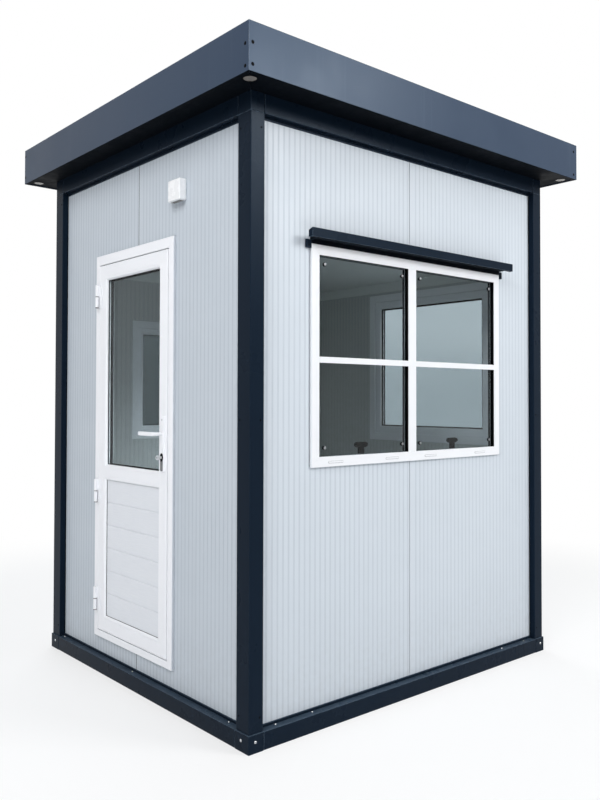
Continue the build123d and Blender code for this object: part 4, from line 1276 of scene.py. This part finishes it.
# one ring of a lever; form goes from the round neck at 0 to the flattened grip at 1
def leverRing(spot, heading, form, scale=1.0):
    neck, power = leverLook["neck"], 2 / (2 + 1.2 * form)
    halfHigh = (neck + (leverLook["height"] - neck) * form) * scale
    halfThick = (neck + (leverLook["thick"] - neck) * form) * scale
    sideways = Vector((-heading.y, heading.x))
    points = []
    for c, s in circle(28):
        u = math.copysign(abs(c) ** power, c) * halfThick
        v = math.copysign(abs(s) ** power, s) * halfHigh
        points.append((spot.x + sideways.x * u, spot.y + sideways.y * u, leverLevel + v))
    return points


# a lever: round at the spindle, bending into a flattened grip with a rounded tip
def lever(mesh, plateFace, way):
    bend, out, tip = leverLook["bend"], leverLook["middle"], leverLook["tip"]
    length, inward = leverLook["reach"] - bend - tip, Vector((-1, 0))
    rings = []
    for share in (0.0, 0.35, 0.7, 1.0):
        spot = Vector((spindleX, plateFace + way * (out - bend) * share))
        rings.append(leverRing(spot, Vector((0, way)), share * 0.25))
    for i in range(1, 9):
        c, s = math.cos(math.radians(90 * i / 8)), math.sin(math.radians(90 * i / 8))
        spot = Vector((spindleX - bend + bend * c, plateFace + way * (out - bend + bend * s)))
        rings.append(leverRing(spot, Vector((-s, way * c)), 0.25 + 0.6 * i / 8))
    for share in (0.15, 0.4, 0.7, 1.0):
        last = Vector((spindleX - bend - length * share, plateFace + way * out))
        rings.append(leverRing(last, inward, 1.0))
    for i in range(1, 7):
        a = math.radians(90 * i / 6)
        rings.append(leverRing(last + inward * tip * math.sin(a), inward, 1.0, max(math.cos(a), 0.12)))
    loft(mesh, rings)


mesh = bmesh.new()
lever(mesh, plateLow.y, -1)
lever(mesh, plateHigh.y, 1)
length, spindle = plateHigh.y - plateLow.y - 0.0012, leverLook["spindle"]
section = [(0, 0), (spindle, 0), (spindle, length), (0, length)]
turned(mesh, (spindleX, plateLow.y + 0.0006, leverLevel), (0, 1, 0), section, 24)
makePiece("door_levers", mesh, "whitePlastic", "door_handle", "handle", 50)

# lock cover: a dark oval round the keyhole over a longer steel foot, on both faces of the door
lockLook = {
    "halfWide": 0.0126, "halfHigh": 0.0200, "proud": 0.0034, "footHalf": 0.0104, "footLow": -0.0635,
    "footHigh": -0.0120, "footProud": 0.0024,
}
half, wide, high = lockLook["footHalf"], lockLook["halfWide"], lockLook["halfHigh"]
oval = [(spindleX + wide * c, lockLevel + high * s) for c, s in circle(36)]
foot = rounded(corners(
    spindleX - half, spindleX + half, lockLevel + lockLook["footLow"], lockLevel + lockLook["footHigh"],
), 0.0060, 6)
mesh = bmesh.new()
for out, leafFace, way in plateFaces:
    cover(mesh, "front", foot, out - way * 0.001, out + way * lockLook["footProud"], 0.0010, 0)
    cover(mesh, "front", oval, out - way * 0.001, out + way * lockLook["proud"], 0.0014, 1)
makePiece("lock_cylinder", mesh, "lockSteel screwBlack", "", "door")

# the key with its round bow, and the plug it turns
keyLook = {
    "plug": 0.0068, "bow": 0.0115, "thick": 0.0024, "blade": 0.010, "height": 0.0076, "hole": 0.0032,
    "holeShift": 0.005, "edge": 0.0006,
}
keyLow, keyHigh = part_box("key")
plug, edge, bow, hole = (keyLook[key] for key in ("plug", "edge", "bow", "hole"))
bowY = keyLow.y + bow
plugFace = bowY + bow / 2 + keyLook["blade"]
length, half, halfHigh = keyHigh.y - plugFace, keyLook["thick"] / 2, keyLook["height"] / 2
mesh = bmesh.new()
turned(mesh, (spindleX, plugFace, lockLevel), (0, 1, 0), [
    (0, 0), (plug - edge, 0), (plug, edge), (plug, length - edge), (plug - edge, length), (0, length),
], 28)
block(
    mesh, (spindleX - half * 0.8, bowY + 0.008, lockLevel - halfHigh),
    (spindleX + half * 0.8, plugFace + 0.001, lockLevel + halfHigh),
)
inner = [(bowY - keyLook["holeShift"] + hole * c, lockLevel + hole * s) for c, s in circle(40)]
outer = [(bowY + bow * c, lockLevel + bow * s) for c, s in circle(40)]
loops = ((-half, inner), (-half, outer), (half, outer), (half, inner))
rings = [[mesh.verts.new((spindleX + shift, y, z)) for y, z in points] for shift, points in loops]
for low, high in zip(rings, rings[1:] + rings[:1]):
    for i in range(len(low)):
        mesh.faces.new((low[i - 1], low[i], high[i], high[i - 1]))
makePiece("lock_key", mesh, "keySteel", "key", "key_plug")
print("handle and lock built")

# right window: two lights with a transom each, fixed panes behind stepped bars, and a lining inside
windowLow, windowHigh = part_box("right_window_frame")
windowLook = {
    "face": 0.045, "mullion": 0.055, "frontLight": 0.582, "transomRise": 0.412, "transom": 0.027, "lip": 0.014,
    "innerBar": 0.014, "cover": 0.006, "step": 0.0035, "setBack": 0.0030, "joint": 0.0003,
    "capLong": 0.088, "capHigh": 0.0075, "capProud": 0.0020, "capSeat": 0.0012, "capRise": 0.016,
    "capPlaces": (0.17, 0.80), "buttonInset": 0.038, "buttonRadius": 0.009,
}
paneLow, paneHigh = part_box("right_window_glass")
liningLow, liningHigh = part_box("right_window_lining")
surroundLow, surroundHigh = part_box("right_window_gaskets")
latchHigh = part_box("window_latches")[1]
face, faceBack, barFace, lip = windowHigh.x, windowLow.x, windowLook["face"], windowLook["lip"]
step, setBack, joint = windowLook["step"], windowLook["setBack"], windowLook["joint"]
mullionFront = windowLow.y + barFace + windowLook["frontLight"]
mullionBack = mullionFront + windowLook["mullion"]
lightBottom, lightTop = windowLow.z + barFace, windowHigh.z - barFace
lights = ((windowLow.y + barFace, mullionFront), (mullionBack, windowHigh.y - barFace))
transomLow = lightBottom + windowLook["transomRise"]
transomHigh = transomLow + windowLook["transom"]
windowRect = rectOf("right_window_frame", 1)
liningFace = liningHigh.x
innerBack = liningFace - windowLook["innerBar"]


# the section of a bar between two lights, set back behind its face
def steppedBar(low, high):
    return [
        (low + setBack, faceBack), (low + setBack, face - step), (low, face - step), (low, face), (high, face),
        (high, face - step), (high - setBack, face - step), (high - setBack, faceBack),
    ]


mesh = bmesh.new()
mitredFrame(mesh, "right", windowRect, barFace, [
    (0, 0, faceBack), (0, 0, face), (1, 0, face), (1, 0, face - step), (1, -setBack, face - step),
    (1, -setBack, faceBack),
], 0.0012)
section = rounded(steppedBar(mullionFront, mullionBack), 0.0010)
upright(mesh, "right", section, lightBottom + joint, lightTop - joint)
section = rounded([(out, up) for up, out in steppedBar(transomLow, transomHigh)], 0.0010)
for start, end in lights:
    run(mesh, "right", section, start + joint, end - joint)
makePiece("right_window_bars", mesh, "barEnamel", "right_window_frame")

# black surround: a lip in front of the glass and a deeper lip behind it, with a fine groove between; and the
# dark strips that line the bars in front of the glass, and the grey lining strip behind it, painted shade
reveals, strips, panes = bmesh.new(), bmesh.new(), bmesh.new()
for start, end in lights:
    rect = (start - lip, end + lip, lightBottom - lip, lightTop + lip)
    for near, far in ((paneHigh.x, surroundHigh.x - 0.0002), (surroundLow.x + 0.0002, paneLow.x)):
        mitredFrame(reveals, "right", rect, lip - 0.001, barSection(near, far), 0.0006, 0.0)
    wallBlock(panes, "right", rect[:2], rect[2:], (paneLow.x + 0.0002, paneHigh.x - 0.0002), 0.0010)
    for low, high in ((lightBottom, transomLow), (transomHigh, lightTop)):
        section = barSection(surroundHigh.x, face - step - 0.0003, 0.0002)
        rect = shrink((start, end, low, high), -setBack)
        mitredFrame(strips, "right", rect, setBack - 0.0004, section, 0.0008, 0.0)
    # the lining's strip is grey: painted shade on the dim reveal
    section = barSection(innerBack + 0.0008, liningFace - 0.0002, 0.0001)
    mitredFrame(strips, "right", (start, end, lightBottom, lightTop), 0.0012, section, 0.0004, 0.0, 1)
makePiece("right_window_reveals", reveals, "blackRubber", "right_window_gaskets")
makePiece("right_window_strips", strips, "blackRubber liningGrey")
makePiece("right_window_panes", panes, "paneGlass", "right_window_glass")

mesh = bmesh.new()
mitredFrame(mesh, "right", windowRect, barFace, barSection(innerBack, liningFace), 0.0016)
section = rounded(corners(mullionFront, mullionBack, innerBack, liningFace), 0.0016)
upright(mesh, "right", section, lightBottom + joint, lightTop - joint)
mitredFrame(mesh, "right", windowRect, windowLook["cover"], barSection(liningLow.x, innerBack - 0.0002), 0.0010)
makePiece("right_window_inner_bars", mesh, "barEnamel", "right_window_lining")

mesh = bmesh.new()
inset, radius = windowLook["buttonInset"], windowLook["buttonRadius"]
for start, end in lights:
    for a in (start + inset, end - inset):
        for b in (lightBottom + inset, lightTop - inset):
            centre = place("right", a, b, paneHigh.x)
            turned(mesh, centre, (1, 0, 0), [
                (0, 0.0002), (radius, 0.0002), (radius, 0.0064), (radius - 0.0014, 0.0072), (0, 0.0072),
            ], 28, 1)
            turned(mesh, centre, (1, 0, 0), [
                (0, 0.0070), (0.0074, 0.0070), (0.0074, 0.0084), (0.0068, 0.0092), (0.0045, 0.0098),
                (0.0020, 0.0100), (0, 0.0100),
            ], 28, 0)
makePiece("window_studs", mesh, "studMetal blackRubber", "window_buttons")

# a catch is a swollen grip over a short stem; each of its sections is (share of the width, swell)
latchLook = {
    "width": 0.076, "height": 0.026, "stem": 0.032, "drop": 0.030, "depth": 0.018, "foot": 0.014,
    "grip": (
        (0.0, 0.55), (0.06, 0.80), (0.16, 1.0), (0.34, 0.84), (0.42, 1.0), (0.58, 1.0), (0.66, 0.84),
        (0.84, 1.0), (0.94, 0.80), (1.0, 0.55),
    ),
}
mesh = bmesh.new()
back = latchHigh.x - 0.0003
low, halfStem = lightBottom + latchLook["drop"], latchLook["stem"] / 2
for start, end in lights:
    middle = (start + end) / 2
    wallBlock(
        mesh, "right", (middle - halfStem, middle + halfStem), (lightBottom + 0.0005, low + 0.002),
        (latchHigh.x - latchLook["foot"], back), 0.0025,
    )
    rings = []
    for share, swell in latchLook["grip"]:
        halfHigh, halfDeep = latchLook["height"] / 2 * swell, latchLook["depth"] / 2 * (swell * 0.5 + 0.48)
        rings.append([place(
            "right", middle + latchLook["width"] * (share - 0.5),
            low + latchLook["height"] / 2 + math.copysign(abs(s) ** 0.6, s) * halfHigh,
            back - halfDeep + math.copysign(abs(c) ** 0.6, c) * halfDeep,
        ) for c, s in circle(20)])
    loft(mesh, rings)
makePiece("window_catches", mesh, "latchPlastic", "window_latches", smooth=45)

mesh = bmesh.new()
half, seat, low = windowLook["capLong"] / 2, windowLook["capSeat"], windowLow.z + windowLook["capRise"]
for start, end in lights:
    for share in windowLook["capPlaces"]:
        middle = start + (end - start) * share
        rect = (middle - half, middle + half, low, low + windowLook["capHigh"])
        outline = rounded(corners(*rect), 0.0034, 4)
        cover(mesh, "right", outline, face - 0.0005, face + windowLook["capProud"], 0.0012)
        slab(mesh, "right", rounded(corners(*shrink(rect, -seat)), 0.0040, 4), face - 0.0005, face + 0.0004, 1)
makePiece("drain_caps", mesh, "barEnamel greyRubber")
print("right window built")

# hood over the right window: a folded box on a web, over two short rails and a dark strip; the strip, web
# and a plate in the box take the dark soffit paint, painted shade under the box
hoodLook = {
    "railDeep": 0.012, "railInset": 0.017, "railTop": 0.037, "inset": 0.046, "gap": 0.001, "webHigh": 0.026,
    "boxStart": 0.044, "backDrop": 0.010, "sheet": 0.0020, "fold": 0.006, "screwInset": 0.031,
    "screwRise": 0.012,
}
hoodLow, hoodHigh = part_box("window_hood")
railTop, railFace = hoodLow.z + hoodLook["railTop"], hoodLow.x + hoodLook["railDeep"]
frontEnd, backEnd = hoodLow.y + hoodLook["inset"], hoodHigh.y - hoodLook["inset"]
gap, sheet, fold, inset = (hoodLook[key] for key in ("gap", "sheet", "fold", "railInset"))
inner, outer, top = hoodLow.x + hoodLook["boxStart"], hoodHigh.x, hoodHigh.z
backTop, webTop = top - hoodLook["backDrop"], railTop + hoodLook["webHigh"]
mesh = bmesh.new()
for start, end in ((hoodLow.y + inset, frontEnd - gap), (backEnd + gap, hoodHigh.y - inset)):
    wallBlock(mesh, "right", (start, end), (hoodLow.z, railTop), (hoodLow.x, railFace), 0.0020, 0, 3)
rail = (windowHigh.z + gap, railTop)
wallBlock(mesh, "right", (frontEnd - gap, backEnd + gap), rail, (hoodLow.x, railFace), 0.0, 1)
wallBlock(mesh, "right", (frontEnd, backEnd), (railTop, webTop), (hoodLow.x, inner + sheet), 0.001, 1)
section = rounded([
    (inner, railTop + 0.002), (inner + sheet, railTop + 0.002), (inner + sheet, backTop - sheet),
    (outer - sheet, top - sheet), (outer - sheet, railTop + sheet), (outer - fold, railTop + sheet),
    (outer - fold, railTop), (outer, railTop), (outer, top), (inner, backTop),
], 0.0009)
ends = (hoodLow.y + sheet, hoodHigh.y - sheet)
run(mesh, "right", section, *ends)
wallBlock(mesh, "right", ends, (railTop + 0.0025, railTop + 0.0045), (inner + sheet, outer - sheet), 0.0, 1)
cap = rounded([(inner, railTop), (outer, railTop), (outer, top), (inner, backTop)], 0.0016)
run(mesh, "right", cap, hoodLow.y, ends[0])
run(mesh, "right", cap, hoodHigh.y, ends[1])
makePiece("window_hood_sheet", mesh, "steelPaint soffitPaint", "window_hood")
mesh = bmesh.new()
for spot in (hoodLow.y + hoodLook["screwInset"], hoodHigh.y - hoodLook["screwInset"]):
    domeHead(mesh, "right", spot, hoodLow.z + hoodLook["screwRise"], railFace, 0.0034, 0.0018)
makePiece("hood_screws", mesh, "screwBlack")
print("hood built")

# back and left windows, each with a frame, a sash and an insulated unit
sashLook = {
    "back_window": {
        "facing": "back", "frame": 0.046, "sash": 0.048, "bead": 0.016, "gasket": 0.0075, "glass": "unitGlass",
    },
    "left_window": {
        "facing": "left", "frame": 0.043, "sash": 0.037, "bead": 0.014, "gasket": 0.0042, "glass": "deepGlass",
    },
}
for name, look in sashLook.items():
    facing, bead = look["facing"], look["bead"]
    axis, sign = (0, 1) if facing == "back" else (1, -1)
    rects, spans = [], []
    for part in ("frame", "sash", "glass"):
        low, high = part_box(f"{name}_{part}")
        rects.append(rectOf(f"{name}_{part}", axis))
        spans.append(sorted((sign * low[1 - axis], sign * high[1 - axis])))
    (frameIn, frameOut), (sashIn, sashOut), (paneIn, paneOut) = spans
    frameBars, sashBars, gaskets = bmesh.new(), bmesh.new(), bmesh.new()
    mitredFrame(frameBars, facing, rects[0], look["frame"], [
        (0, 0, frameIn), (0, 0, frameOut), *fineGroove(0.012, frameOut), (1, 0, frameOut), (1, 0, frameIn),
        *fineGroove(0.012, frameIn, deep=-0.0009)[::-1],
    ], 0.0022)
    makePiece(f"{name}_frame_bars", frameBars, "whitePlastic", f"{name}_frame")
    mitredFrame(sashBars, facing, rects[1], look["sash"] - bead, barSection(sashIn, sashOut, 0.0008), 0.0024)
    sight = shrink(rects[1], look["sash"])
    glazing(sashBars, gaskets, facing, sight, (sashOut, sashIn), (paneOut, paneIn), bead, look["gasket"])
    makePiece(f"{name}_sash_bars", sashBars, "whitePlastic", f"{name}_sash")
    makePiece(f"{name}_seals", gaskets, "blackRubber")
    glassUnit(f"{name}_unit", facing, rects[2], paneOut, paneIn, look["glass"], f"{name}_glass")
print("back and left windows built")

# lamp over the door: a soft box on a back plate, with its lens underneath
lampLook = {"round": 0.0045, "rim": 0.006, "backPlate": 0.004, "lensRise": 0.0015}
low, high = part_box("wall_lamp")
rim, lift, plate = lampLook["rim"], lampLook["lensRise"], high.y - lampLook["backPlate"]
mesh = bmesh.new()
block(mesh, (low.x, low.y, low.z + lift), (high.x, plate, high.z), lampLook["round"], 0, 5)
block(mesh, (low.x + 0.004, plate, low.z + 0.005), (high.x - 0.004, high.y, high.z - 0.004), 0.001)
block(mesh, (low.x + rim, low.y + rim, low.z), (high.x - rim, high.y - rim - 0.002, low.z + 0.006), 0.0015, 1)
makePiece("door_lamp", mesh, "lampPlastic lampLens", "wall_lamp")
print("lamp built")
